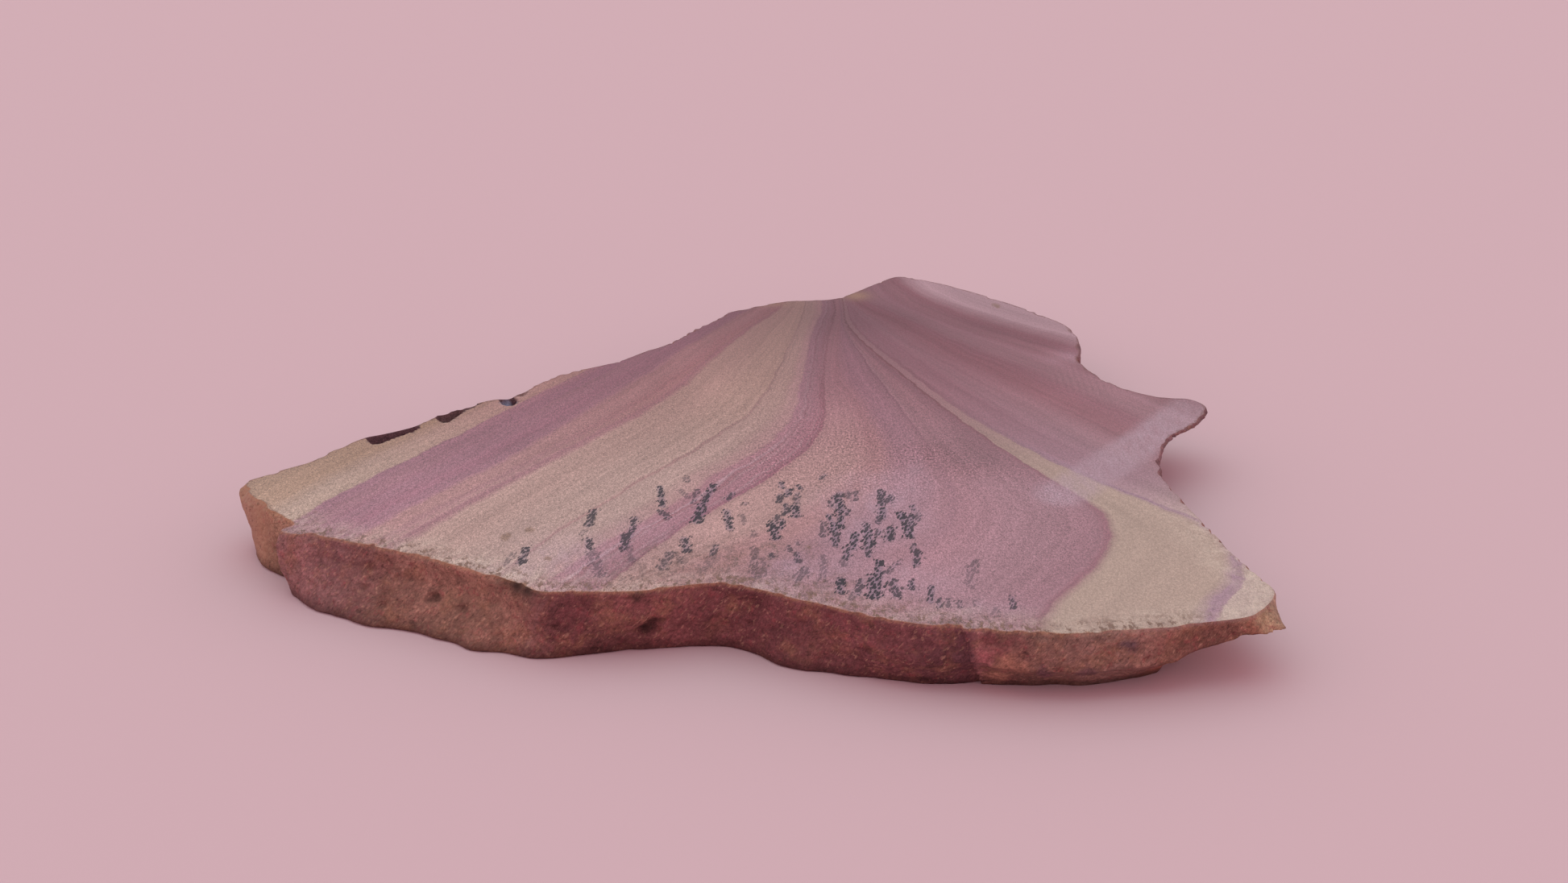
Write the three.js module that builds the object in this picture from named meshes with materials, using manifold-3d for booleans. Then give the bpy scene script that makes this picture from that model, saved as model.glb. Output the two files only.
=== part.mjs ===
// A slab of flow-banded rhyolite: two flat sawn faces and a broken, weathered rim.
// Millimetres, +Z up. The slab lies on its sawn underside, centred over the origin.
import * as THREE from "three";
import { mergeVertices } from "three/addons/utils/BufferGeometryUtils.js";
import Module from "manifold-3d";

const THICKNESS = 8; // between the two sawn faces
const ARRIS = 0.35; // height of the wear along the upper and lower edges of the rim
const ARRIS_IN = 0.7; // how far that wear cuts in, as a share of its height
const ARRIS_OF_LIP = 0.4; // where the lip is thin, the wear takes at most this share of it
const LEAN = 0.15; // how far the upright lip of the rim leans out at its lower end
const NOSE = { x: 58.0, y: -56.6, reach: 3.2, lean: 2.0 }; // the right corner leans out further
const COLUMN_STEP = 1.5; // spacing of the rim's columns of points
const FOOT_ROWS = [0.14, 0.32, 0.55, 0.78, 1]; // rows between the lip and the foot, 0 to 1
const NORMAL_REACH = 7; // the rim's outward direction is taken across this far each way
const TUCKED_FROM = 5; // where the foot is tucked in further than this, that reach grows
const REACH_MORE = 1.6; // by this much for each millimetre more, so that no two feet cross
const HOLLOW_FROM = 2; // a foot tucked in further than this is hollowed like a chip
const HOLLOW_FULL = 7; // and from here on it has the full hollow
const HOLLOW_POWER = 0.5; // shape of the full hollow; 1 would be a straight slope
const COARSE = { size: 6.5, depth: 0.42, layer: 0 }; // broad lumps of the broken rim
const FINE = { size: 2.9, depth: 0.26, layer: 30 }; // small lumps of the broken rim
const WOBBLE = { size: 3.3, depth: 0.16, layer: 60 }; // unevenness of the upper edge
const THICK_LIP = 2.5; // a thinner lip than this has smaller lumps, in proportion

// The upper edge of the rim, clockwise seen from above, starting at the left corner.
// x, y, how far the foot stands out (+) or is tucked in (-), height of the upright lip.
const RIM = [
  [-61.6, -21.7, -1.6, 1.2],
  [-58.6, -18.2, -0.2, 3.5],
  [-55.0, -15.0, 0.5, 3.6],
  [-52.2, -10.4, 0.9, 3.4],
  [-49.6, -6.8, 1.2, 3.0],
  [-46.4, -5.0, 1.3, 3.0],
  [-43.4, -2.2, 1.1, 3.0],
  [-41.4, 1.2, 1.0, 3.2],
  [-38.0, 4.2, 0.9, 3.0],
  [-34.6, 7.2, 0.8, 3.2],
  [-32.4, 7.4, 0.9, 3.4],
  [-30.9, 10.3, 0.7, 3.4],
  [-28.0, 15.0, 0.3, 3.5],
  [-25.0, 18.0, -0.2, 3.8],
  [-22.0, 20.0, -0.6, 4.0],
  [-18.8, 22.2, -1.0, 4.0],
  [-15.0, 26.5, -1.5, 3.6],
  [-12.0, 30.0, -1.6, 3.4],
  [-8.0, 37.0, -1.2, 3.6],
  [-5.0, 42.0, -0.8, 3.8],
  [-2.0, 45.5, -0.6, 4.0],
  [4.0, 49.0, 0.1, 4.0],
  [8.0, 50.3, 0.4, 4.0],
  [13.0, 51.1, 0.7, 3.6],
  [18.0, 56.5, 0.6, 3.4],
  [21.3, 60.8, -0.2, 3.0],
  [24.0, 62.2, -1.2, 2.8],
  [27.2, 60.6, -1.5, 2.8],
  [34.0, 55.0, -1.5, 3.0],
  [40.0, 48.5, -1.0, 3.4],
  [45.0, 42.0, -0.6, 3.6],
  [47.8, 37.0, 0.1, 3.6],
  [48.4, 31.0, 0.4, 3.4],
  [47.7, 26.0, 0.4, 3.2],
  [47.0, 23.0, 0.2, 3.0],
  [48.0, 20.0, -0.6, 2.8],
  [50.0, 14.5, -2.0, 2.4],
  [53.0, 10.5, -4.4, 2.0],
  [56.5, 8.2, -6.4, 1.6],
  [60.0, 7.4, -7.8, 0.8],
  [61.9, 5.3, -8.4, 0.6],
  [61.9, 3.2, -8.8, 0.5],
  [60.2, -0.5, -8.8, 0.4],
  [59.1, -2.7, -8.6, 0.4],
  [56.8, -4.8, -8.0, 0.4],
  [54.3, -8.9, -7.2, 0.4],
  [52.7, -14.4, -6.4, 0.6],
  [52.3, -19.0, -5.8, 0.8],
  [52.8, -23.8, -5.4, 1.0],
  [54.3, -30.8, -5.8, 1.2],
  [55.9, -38.5, -7.0, 1.4],
  [57.7, -46.0, -8.8, 1.5],
  [59.4, -51.6, -10.2, 1.9],
  [58.4, -55.0, -10.2, 2.5],
  [55.6, -58.6, -9.4, 1.7],
  [50.0, -60.2, -7.2, 3.0],
  [47.0, -61.1, -4.8, 4.0],
  [44.6, -61.6, -3.9, 4.2],
  [40.0, -62.3, -3.4, 4.4],
  [33.5, -62.7, -3.4, 4.4],
  [27.6, -62.1, -3.0, 4.2],
  [26.2, -61.7, -2.7, 3.8],
  [20.0, -60.7, -2.0, 4.0],
  [16.0, -59.4, -1.3, 4.0],
  [12.0, -57.3, -0.3, 3.8],
  [8.0, -55.2, 0.9, 3.6],
  [4.0, -53.0, 0.8, 3.4],
  [0.0, -51.0, 0.1, 3.4],
  [-3.2, -50.4, -0.5, 3.4],
  [-7.0, -51.2, -0.6, 3.4],
  [-12.0, -52.6, -1.3, 3.6],
  [-17.0, -52.7, -0.1, 3.6],
  [-21.6, -52.5, 0.8, 3.4],
  [-24.4, -50.6, 2.2, 3.2],
  [-28.0, -48.4, 2.9, 3.2],
  [-33.0, -45.4, 3.3, 3.2],
  [-38.0, -42.8, 3.7, 3.0],
  [-43.0, -40.4, 4.0, 2.8],
  [-48.0, -38.2, 3.3, 2.6],
  [-54.1, -36.6, -0.9, 2.8],
  [-53.1, -34.4, -0.6, 3.2],
  [-55.0, -32.0, 0.2, 3.4],
  [-58.0, -28.4, 0.6, 2.6],
  [-60.4, -25.0, -0.3, 1.6],
];

const HOLLOW_DETAIL = 2; // faceting of each hollow

// Hollows cut out of the slab: centre, half sizes along, across and up, and turn about +Z.
// The first four open on the upper face at the back-left edge, the rest are pits in the rim.
const HOLLOWS = [
  { at: [-47.5, -7.1, 8.5], half: [2.7, 1.7, 1.7], turn: 32 },
  { at: [-44.6, -4.4, 8.4], half: [2.6, 1.0, 1.1], turn: 48 },
  { at: [-39.6, 1.6, 8.4], half: [3.0, 1.7, 1.6], turn: 52 },
  { at: [-32.4, 6.2, 8.2], half: [1.4, 1.3, 1.9], turn: 20 },
  { at: [-9.4, -52.3, 4.0], half: [1.5, 1.7, 1.5], turn: 10 },
  { at: [-34.9, -45.3, 3.6], half: [1.2, 1.0, 0.9], turn: -29 },
  { at: [-31.3, -47.6, 3.3], half: [1.0, 0.9, 0.7], turn: -30 },
  { at: [-43.5, -42.1, 3.3], half: [0.9, 0.8, 0.6], turn: -24 },
  { at: [6.6, -55.6, 5.4], half: [1.1, 1.2, 0.8], turn: -28 },
  { at: [14.0, -58.9, 3.8], half: [1.3, 1.2, 0.8], turn: -25 },
  { at: [20.6, -60.7, 5.6], half: [1.0, 1.2, 0.7], turn: -14 },
  { at: [42.0, -62.5, 6.0], half: [1.1, 1.0, 0.6], turn: 8 },
  { at: [-19.0, 23.3, 4.4], half: [1.6, 1.5, 1.0], turn: 45 },
  { at: [-3.4, 44.6, 3.4], half: [1.5, 1.6, 1.1], turn: 50 },
  { at: [31.0, 57.2, 4.0], half: [1.6, 1.5, 1.0], turn: -40 },
  { at: [48.2, 29.0, 4.2], half: [1.5, 1.4, 1.1], turn: 90 },
];

// A repeatable number from 0 to 1 for each crossing of a grid.
function hashed(i, j) {
  const raw = Math.sin(i * 127.1 + j * 311.7) * 43758.5453;
  return raw - Math.floor(raw);
}

// Smooth noise from -1 to 1 over a plane; it repeats after `period` steps of the first value.
function noise(a, b, period) {
  const i = Math.floor(a);
  const j = Math.floor(b);
  const u = THREE.MathUtils.smoothstep(a - i, 0, 1);
  const v = THREE.MathUtils.smoothstep(b - j, 0, 1);
  const i0 = i % period;
  const i1 = (i + 1) % period;
  const near = THREE.MathUtils.lerp(hashed(i0, j), hashed(i1, j), u);
  const far = THREE.MathUtils.lerp(hashed(i0, j + 1), hashed(i1, j + 1), u);
  return 2 * THREE.MathUtils.lerp(near, far, v) - 1;
}

// The rim as columns: a point on the upper edge, the outward direction, foot and lip.
function rimColumns() {
  const corners = RIM.map(([x, y]) => new THREE.Vector3(x, y, 0));
  const curve = new THREE.CatmullRomCurve3(corners, true, "catmullrom", 0.5);
  const starts = [0];
  for (let i = 0; i < RIM.length; i += 1) {
    const next = corners[(i + 1) % RIM.length];
    starts.push(starts[i] + corners[i].distanceTo(next));
  }
  const length = starts[RIM.length];
  const count = Math.round(length / COLUMN_STEP);
  const pointAt = (distance) => {
    const s = THREE.MathUtils.euclideanModulo(distance, length);
    const i = starts.findLastIndex((start) => start <= s);
    const part = (s - starts[i]) / (starts[i + 1] - starts[i]);
    const point = curve.getPoint((i + part) / RIM.length);
    return { point, station: i, part };
  };
  const columns = [];
  for (let k = 0; k < count; k += 1) {
    const s = (k / count) * length;
    const { point, station, part } = pointAt(s);
    const here = RIM[station];
    const next = RIM[(station + 1) % RIM.length];
    const foot = THREE.MathUtils.lerp(here[2], next[2], part);
    const reach = NORMAL_REACH + REACH_MORE * Math.max(0, -foot - TUCKED_FROM);
    const before = pointAt(s - reach).point;
    const after = pointAt(s + reach).point;
    const along = after.sub(before).normalize();
    columns.push({
      s,
      length,
      point,
      outward: new THREE.Vector3(-along.y, along.x, 0),
      foot,
      lip: THREE.MathUtils.lerp(here[3], next[3], part),
    });
  }
  return columns;
}

// How far one kind of lump pushes the rim outward at a column and a height.
function roughness(column, z, kind) {
  const period = Math.round(column.length / kind.size);
  const along = (column.s / column.length) * period;
  return kind.depth * noise(along, z / kind.size + kind.layer, period);
}

// One column of the rim from the upper edge down to the foot: [distance outward, height].
function columnProfile(column) {
  const { foot, lip } = column;
  const tucked = THREE.MathUtils.smoothstep(-foot, HOLLOW_FROM, HOLLOW_FULL);
  const power = THREE.MathUtils.lerp(1, HOLLOW_POWER, tucked);
  const lipEnd = THICKNESS - lip;
  const lower = lipEnd - ARRIS;
  const worn = Math.min(ARRIS, lip * ARRIS_OF_LIP);
  const fromNose = Math.hypot(column.point.x - NOSE.x, column.point.y - NOSE.y);
  const lean = LEAN + NOSE.lean * Math.exp(-((fromNose / NOSE.reach) ** 2));
  const wobble = roughness(column, 0, WOBBLE);
  const rows = [
    [wobble - worn * ARRIS_IN, THICKNESS],
    [wobble, THICKNESS - worn],
    [wobble + lean / 2, THICKNESS - (worn + lip) / 2],
    [wobble + lean, lipEnd],
  ];
  for (const t of FOOT_ROWS) {
    rows.push([wobble + lean + (foot - lean) * t ** power, lipEnd - lower * t]);
  }
  const roughRows = rows.slice(2).map(([out, z]) => {
    const lumps = roughness(column, z, COARSE) + roughness(column, z, FINE);
    return [out + lumps * Math.min(1, lip / THICK_LIP), z];
  });
  const [footOut] = roughRows[roughRows.length - 1];
  return [...rows.slice(0, 2), ...roughRows, [footOut - ARRIS * ARRIS_IN, 0]];
}

// The closed body before anything is cut out of it.
function slabGeometry() {
  const columns = rimColumns();
  const rings = [];
  for (const column of columns) {
    const profile = columnProfile(column);
    rings.push(profile.map(([out, z]) => {
      const spot = column.point.clone().addScaledVector(column.outward, out);
      return new THREE.Vector3(spot.x, spot.y, z);
    }));
  }
  const rows = rings[0].length;
  const positions = rings.flat().flatMap((spot) => spot.toArray());
  const indices = [];
  for (let k = 0; k < rings.length; k += 1) {
    const here = k * rows;
    const next = ((k + 1) % rings.length) * rows;
    for (let r = 0; r < rows - 1; r += 1) {
      indices.push(here + r, next + r, next + r + 1);
      indices.push(here + r, next + r + 1, here + r + 1);
    }
  }
  for (const [row, up] of [[0, true], [rows - 1, false]]) {
    const outline = rings.map((ring) => new THREE.Vector2(ring[row].x, ring[row].y));
    for (const [a, b, c] of THREE.ShapeUtils.triangulateShape(outline, [])) {
      const [i, j, k] = [a, b, c].map((corner) => corner * rows + row);
      const turned = THREE.ShapeUtils.area([outline[a], outline[b], outline[c]]) > 0;
      indices.push(...(turned === up ? [i, j, k] : [i, k, j]));
    }
  }
  const geometry = new THREE.BufferGeometry();
  geometry.setAttribute("position", new THREE.Float32BufferAttribute(positions, 3));
  geometry.setIndex(indices);
  return geometry;
}

// An egg-shaped body to cut away.
function hollowGeometry({ at, half, turn }) {
  const geometry = new THREE.IcosahedronGeometry(1, HOLLOW_DETAIL);
  geometry.scale(...half);
  geometry.rotateZ(THREE.MathUtils.degToRad(turn));
  geometry.translate(...at);
  return geometry;
}

const wasm = await Module();
wasm.setup();

function toSolid(geometry) {
  geometry.deleteAttribute("normal");
  geometry.deleteAttribute("uv");
  const merged = mergeVertices(geometry, 1e-4);
  return new wasm.Manifold(new wasm.Mesh({
    numProp: 3,
    vertProperties: new Float32Array(merged.attributes.position.array),
    triVerts: new Uint32Array(merged.index.array),
  }));
}

function toGeometry(solid) {
  const mesh = solid.getMesh();
  const geometry = new THREE.BufferGeometry();
  geometry.setAttribute("position", new THREE.Float32BufferAttribute(mesh.vertProperties, 3));
  geometry.setIndex(Array.from(mesh.triVerts));
  geometry.computeVertexNormals();
  return geometry;
}

let stone = toSolid(slabGeometry());
for (const hollow of HOLLOWS) {
  stone = stone.subtract(toSolid(hollowGeometry(hollow)));
}

const geometry = toGeometry(stone);
geometry.computeBoundingBox();
const middle = geometry.boundingBox.getCenter(new THREE.Vector3());
geometry.translate(-middle.x, -middle.y, 0);

const slab = new THREE.Mesh(
  geometry,
  new THREE.MeshStandardMaterial({ color: 0xa98084, roughness: 0.55, metalness: 0 }),
);
slab.name = "rhyolite_slab";

const group = new THREE.Group();
group.add(slab);

export default group;
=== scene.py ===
# %% [markdown]
# # A slab of banded rhyolite
# The object is one piece of volcanic rock, sawn flat above and below, with a broken and
# weathered rim. Flowing lava stretched its layers into mauve, cream and plum bands, and
# manganese water later drew small dark dendrites near one edge. The CAD solid fixes the size
# and the outline. Everything here only dresses it: a denser mesh of the same rim, and a stone
# whose bands are drawn by a few curves and procedural noise.

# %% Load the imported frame
import math
import random
import bpy
import numpy as np
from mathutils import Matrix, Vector, geometry, noise


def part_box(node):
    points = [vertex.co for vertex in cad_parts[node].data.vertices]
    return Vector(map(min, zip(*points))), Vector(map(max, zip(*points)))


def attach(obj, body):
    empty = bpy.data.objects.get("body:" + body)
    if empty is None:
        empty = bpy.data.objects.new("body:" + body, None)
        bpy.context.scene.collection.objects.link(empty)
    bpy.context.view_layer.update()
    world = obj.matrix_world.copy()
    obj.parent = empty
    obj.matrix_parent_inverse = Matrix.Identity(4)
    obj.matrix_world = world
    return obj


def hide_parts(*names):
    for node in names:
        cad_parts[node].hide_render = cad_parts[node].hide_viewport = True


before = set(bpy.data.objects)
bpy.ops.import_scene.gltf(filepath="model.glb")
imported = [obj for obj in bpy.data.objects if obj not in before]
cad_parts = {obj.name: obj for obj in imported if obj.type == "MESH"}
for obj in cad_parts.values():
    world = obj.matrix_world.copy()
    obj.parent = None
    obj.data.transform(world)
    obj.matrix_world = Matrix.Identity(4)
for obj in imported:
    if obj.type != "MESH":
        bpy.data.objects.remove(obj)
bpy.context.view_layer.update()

CAD_NODE = "rhyolite_slab"
MM = 0.001

# %% [markdown]
# ## Camera
# The slab is looked at from its front edge, 22 degrees above the table and 30 cm away, with a
# normal lens. The aim point lies on the table a little behind and to the right of the middle,
# which is what puts the slab low in the frame.

# %% Camera
VIEW_WIDTH = math.radians(40)
VIEW_RISE = math.radians(22)
VIEW_DISTANCE = 300 * MM
AIM = Vector((5.11, 12.10, 0)) * MM

back = Vector((0, -math.cos(VIEW_RISE), math.sin(VIEW_RISE)))
lens = bpy.data.cameras.new("camera")
lens.sensor_fit = "HORIZONTAL"
lens.angle = VIEW_WIDTH
camera = bpy.data.objects.new("camera", lens)
camera.location = AIM + back * VIEW_DISTANCE
camera.rotation_euler = back.to_track_quat("Z", "Y").to_euler()
bpy.context.collection.objects.link(camera)
bpy.context.scene.camera = camera
print("camera at mm:", [round(v / MM, 1) for v in camera.location])

# %% [markdown]
# ## The rim, station by station
# The upper edge of the slab is an irregular closed line. Each station gives its place in
# millimetres, how far the foot of the rim stands out or is tucked in there, and how high the
# upright lip is before the stone curves away below. These are the CAD solid's own stations,
# so the dressed slab keeps its outline. They run clockwise from the left corner.

# %% Stations of the rim
THICKNESS = 8.0
RIM = [
    (-61.6, -21.7, -1.6, 1.2), (-58.6, -18.2, -0.2, 3.5), (-55.0, -15.0, 0.5, 3.6),
    (-52.2, -10.4, 0.9, 3.4), (-49.6, -6.8, 1.2, 3.0), (-46.4, -5.0, 1.3, 3.0),
    (-43.4, -2.2, 1.1, 3.0), (-41.4, 1.2, 1.0, 3.2), (-38.0, 4.2, 0.9, 3.0),
    (-34.6, 7.2, 0.8, 3.2), (-32.4, 7.4, 0.9, 3.4), (-30.9, 10.3, 0.7, 3.4),
    (-28.0, 15.0, 0.3, 3.5), (-25.0, 18.0, -0.2, 3.8), (-22.0, 20.0, -0.6, 4.0),
    (-18.8, 22.2, -1.0, 4.0), (-15.0, 26.5, -1.5, 3.6), (-12.0, 30.0, -1.6, 3.4),
    (-8.0, 37.0, -1.2, 3.6), (-5.0, 42.0, -0.8, 3.8), (-2.0, 45.5, -0.6, 4.0),
    (4.0, 49.0, 0.1, 4.0), (8.0, 50.3, 0.4, 4.0), (13.0, 51.1, 0.7, 3.6),
    (18.0, 56.5, 0.6, 3.4), (21.3, 60.8, -0.2, 3.0), (24.0, 62.2, -1.2, 2.8),
    (27.2, 60.6, -1.5, 2.8), (34.0, 55.0, -1.5, 3.0), (40.0, 48.5, -1.0, 3.4),
    (45.0, 42.0, -0.6, 3.6), (47.8, 37.0, 0.1, 3.6), (48.4, 31.0, 0.4, 3.4),
    (47.7, 26.0, 0.4, 3.2), (47.0, 23.0, 0.2, 3.0), (48.0, 20.0, -0.6, 2.8),
    (50.0, 14.5, -2.0, 2.4), (53.0, 10.5, -4.4, 2.0), (56.5, 8.2, -6.4, 1.6),
    (60.0, 7.4, -7.8, 0.8), (61.9, 5.3, -8.4, 0.6), (61.9, 3.2, -8.8, 0.5),
    (60.2, -0.5, -8.8, 0.4), (59.1, -2.7, -8.6, 0.4), (56.8, -4.8, -8.0, 0.4),
    (54.3, -8.9, -7.2, 0.4), (52.7, -14.4, -6.4, 0.6), (52.3, -19.0, -5.8, 0.8),
    (52.8, -23.8, -5.4, 1.0), (54.3, -30.8, -5.8, 1.2), (55.9, -38.5, -7.0, 1.4),
    (57.7, -46.0, -8.8, 1.5), (59.4, -51.6, -10.2, 1.9), (58.4, -55.0, -10.2, 2.5),
    (55.6, -58.6, -9.4, 1.7), (50.0, -60.2, -7.2, 3.0), (47.0, -61.1, -4.8, 4.0),
    (44.6, -61.6, -3.9, 4.2), (40.0, -62.3, -3.4, 4.4), (33.5, -62.7, -3.4, 4.4),
    (27.6, -62.1, -3.0, 4.2), (26.2, -61.7, -2.7, 3.8), (20.0, -60.7, -2.0, 4.0),
    (16.0, -59.4, -1.3, 4.0), (12.0, -57.3, -0.3, 3.8), (8.0, -55.2, 0.9, 3.6),
    (4.0, -53.0, 0.8, 3.4), (0.0, -51.0, 0.1, 3.4), (-3.2, -50.4, -0.5, 3.4),
    (-7.0, -51.2, -0.6, 3.4), (-12.0, -52.6, -1.3, 3.6), (-17.0, -52.7, -0.1, 3.6),
    (-21.6, -52.5, 0.8, 3.4), (-24.4, -50.6, 2.2, 3.2), (-28.0, -48.4, 2.9, 3.2),
    (-33.0, -45.4, 3.3, 3.2), (-38.0, -42.8, 3.7, 3.0), (-43.0, -40.4, 4.0, 2.8),
    (-48.0, -38.2, 3.3, 2.6), (-54.1, -36.6, -0.9, 2.8), (-53.1, -34.4, -0.6, 3.2),
    (-55.0, -32.0, 0.2, 3.4), (-58.0, -28.4, 0.6, 2.6), (-60.4, -25.0, -0.3, 1.6),
]
print("rim stations:", len(RIM))

# %% [markdown]
# ## Rough stone from smooth noise
# Broken rock has lumps of several sizes at once. The two largest sizes use the same simple
# value noise as the CAD solid, so the lumps sit in the same places, and the finer grit comes
# from Blender's own noise afterwards.

# %% Value noise that matches the solid's
COARSE = {"size": 6.5, "depth": 0.42, "layer": 0}
FINE = {"size": 2.9, "depth": 0.26, "layer": 30}
WOBBLE = {"size": 3.3, "depth": 0.16, "layer": 60}


def hashed(i, j):
    raw = np.sin(i * 127.1 + j * 311.7) * 43758.5453
    return raw - np.floor(raw)


def lumps(s, length, z, kind):
    period = round(length / kind["size"])
    a = s / length * period
    b = z / kind["size"] + kind["layer"]
    i, j = np.floor(a), np.floor(b)
    u, v = a - i, b - j
    u, v = u * u * (3 - 2 * u), v * v * (3 - 2 * v)
    i0, i1 = i % period, (i + 1) % period
    near = hashed(i0, j) * (1 - u) + hashed(i1, j) * u
    far = hashed(i0, j + 1) * (1 - u) + hashed(i1, j + 1) * u
    return kind["depth"] * (2 * (near * (1 - v) + far * v) - 1)


print("lump sizes in mm:", COARSE["size"], FINE["size"], WOBBLE["size"])

# %% [markdown]
# ## Columns around the rim
# A smooth closed curve through the stations is cut into columns a third of a millimetre
# apart. Each column knows its place, the outward direction there, and its foot and lip. The
# direction is taken over a longer stretch where the foot is tucked far in, or the feet of
# neighbouring columns would cross under the two corners.

# %% Columns around the rim
COLUMN_STEP = 0.32
NORMAL_REACH, TUCKED_FROM, REACH_MORE = 7.0, 5.0, 1.6

stations = np.array(RIM)
corners = stations[:, :2]
gaps = np.linalg.norm(np.roll(corners, -1, axis=0) - corners, axis=1)
starts = np.concatenate([[0], np.cumsum(gaps)])
rim_length = starts[-1]


def along_rim(s):
    s = np.mod(s, rim_length)
    i = np.searchsorted(starts, s, side="right") - 1
    part = (s - starts[i]) / gaps[i]
    p0, p1, p2, p3 = (corners[(i + k) % len(RIM)] for k in (-1, 0, 1, 2))
    t = part[:, None]
    bend = 2 * p0 - 5 * p1 + 4 * p2 - p3 + t * (3 * (p1 - p2) + p3 - p0)
    return p1 + 0.5 * t * (p2 - p0 + t * bend), i, part


columns = round(rim_length / COLUMN_STEP)
rim_s = np.arange(columns) * rim_length / columns
edge, station, part = along_rim(rim_s)
following = stations[(station + 1) % len(RIM)]
foot, lip = (stations[station] * (1 - part[:, None]) + following * part[:, None])[:, 2:].T
reach = NORMAL_REACH + REACH_MORE * np.maximum(0, -foot - TUCKED_FROM)
chord = along_rim(rim_s + reach)[0] - along_rim(rim_s - reach)[0]
chord /= np.linalg.norm(chord, axis=1)[:, None]
outward = np.stack([-chord[:, 1], chord[:, 0]], axis=1)
print("rim length mm:", round(float(rim_length), 1), "columns:", columns)

# %% [markdown]
# ## Shape of each column
# From the top: a worn arris, an upright lip, a slope or hollow down to the foot, and a worn
# lower edge. Small chips bite the arris here and there, as on any sawn slab.

# %% Profile of the rim
ARRIS, ARRIS_IN, ARRIS_OF_LIP, THICK_LIP = 0.35, 0.7, 0.4, 2.5
LEAN = 0.15
NOSE = {"x": 58.0, "y": -56.6, "reach": 3.2, "lean": 2.0}
HOLLOW_FROM, HOLLOW_FULL, HOLLOW_POWER = 2.0, 7.0, 0.5
ARRIS_ROWS, LIP_ROWS, FOOT_ROWS = 4, 9, 21
CHIPS, CHIP_HALF, CHIP_DEPTH, CHIP_ROUND = 150, (0.35, 1.3), (0.08, 0.38), 0.7
BIG_CHIP_SHARE, BIG_CHIP = 0.12, 1.8  # this share of the chips is deeper by this factor
CHIP_SLOPE = 1.1  # how steeply a chip runs down from the upper face
WHOLE_FROM, WHOLE_NOSE = (42, -50), 0.3  # near the nose the chips are this much shallower
LOWER_WEAR, LOWER_HEIGHTS = (0.3, 1.0), (0.12, 0.0)  # the two rows of the lower arris


def smoothstep(x, low, high):
    t = np.clip((x - low) / (high - low), 0, 1)
    return t * t * (3 - 2 * t)


random.seed(11)
bite = np.zeros(columns)
for _ in range(CHIPS):
    centre, half = random.uniform(0, rim_length), random.uniform(*CHIP_HALF)
    deep = random.uniform(*CHIP_DEPTH) * (BIG_CHIP if random.random() < BIG_CHIP_SHARE else 1)
    away = (rim_s - centre + rim_length / 2) % rim_length - rim_length / 2
    bite = np.maximum(bite, deep * np.clip(1 - (away / half) ** 2, 0, 1) ** CHIP_ROUND)
bite[(edge[:, 0] > WHOLE_FROM[0]) & (edge[:, 1] < WHOLE_FROM[1])] *= WHOLE_NOSE
print("chips on the upper edge:", CHIPS)

# %% [markdown]
# Rows of points run down every column, the same number in each, so that neighbouring columns
# join into plain four-cornered faces. Each row has a distance out from the edge and a height.

# %% Rows of each column
worn = np.minimum(ARRIS, lip * ARRIS_OF_LIP)
wobble = lumps(rim_s, rim_length, np.zeros(columns), WOBBLE)
from_nose = np.hypot(edge[:, 0] - NOSE["x"], edge[:, 1] - NOSE["y"])
lean = LEAN + NOSE["lean"] * np.exp(-((from_nose / NOSE["reach"]) ** 2))
lip_end = THICKNESS - lip
power = 1 + (HOLLOW_POWER - 1) * smoothstep(-foot, HOLLOW_FROM, HOLLOW_FULL)
rows = []
for turn in np.linspace(0, math.pi / 2, ARRIS_ROWS):
    rows.append((-worn * ARRIS_IN * (1 - math.sin(turn)), THICKNESS - worn * (1 - math.cos(turn))))
for t in np.linspace(0, 1, LIP_ROWS + 1)[1:]:
    rows.append((lean * t, THICKNESS - worn - (lip - worn) * t))
for t in np.linspace(0, 1, FOOT_ROWS + 1)[1:]:
    down = t ** (1 / power)
    rows.append((lean + (foot - lean) * t, lip_end - (lip_end - ARRIS) * down))
out = np.stack([row[0] for row in rows], axis=1)
height = np.stack([np.broadcast_to(row[1], (columns,)) for row in rows], axis=1)
rough = np.clip((THICKNESS - worn[:, None] - height) / (lip - worn)[:, None] * 2, 0, 1)
rough = rough * np.minimum(1, lip / THICK_LIP)[:, None]
grid_s = np.broadcast_to(rim_s[:, None], out.shape)
lumpy = lumps(grid_s, rim_length, height, COARSE) + lumps(grid_s, rim_length, height, FINE)
out = out + lumpy * rough
out = np.minimum(out, (THICKNESS - height) / CHIP_SLOPE - bite[:, None] - worn[:, None] * ARRIS_IN)
out = out + wobble[:, None]
lower_out = out[:, -1:] - ARRIS * ARRIS_IN * np.array([LOWER_WEAR])
out = np.concatenate([out, lower_out], axis=1)
height = np.concatenate([height, np.tile(LOWER_HEIGHTS, (columns, 1))], axis=1)
row_count = out.shape[1]
wall = np.empty((columns, row_count, 3))
wall[..., :2] = edge[:, None] + outward[:, None] * out[..., None]
wall[..., 2] = height
print("rows per column:", row_count, "rim points:", columns * row_count)

# %% [markdown]
# ## Grit and pits on the rim
# The broken faces are rough down to half a millimetre. A displacement modifier could do that,
# but noise added point by point can fade out towards both edges, which stay crisp. Grit, pits
# and the crack are first gathered as one push along each column's outward direction.

# %% Grit
GRIT = ((1.9, 0.17), (0.85, 0.11), (0.42, 0.07))  # size and height of each kind of lump
FULL_FROM_TOP, CREST_SHARE, FULL_FROM_FOOT = 0.8, 0.3, 0.5  # it fades towards both edges


def grit(spot):
    value = 0
    for size, depth in GRIT:
        value += depth * noise.noise(Vector(spot) / size)
    return value


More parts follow.
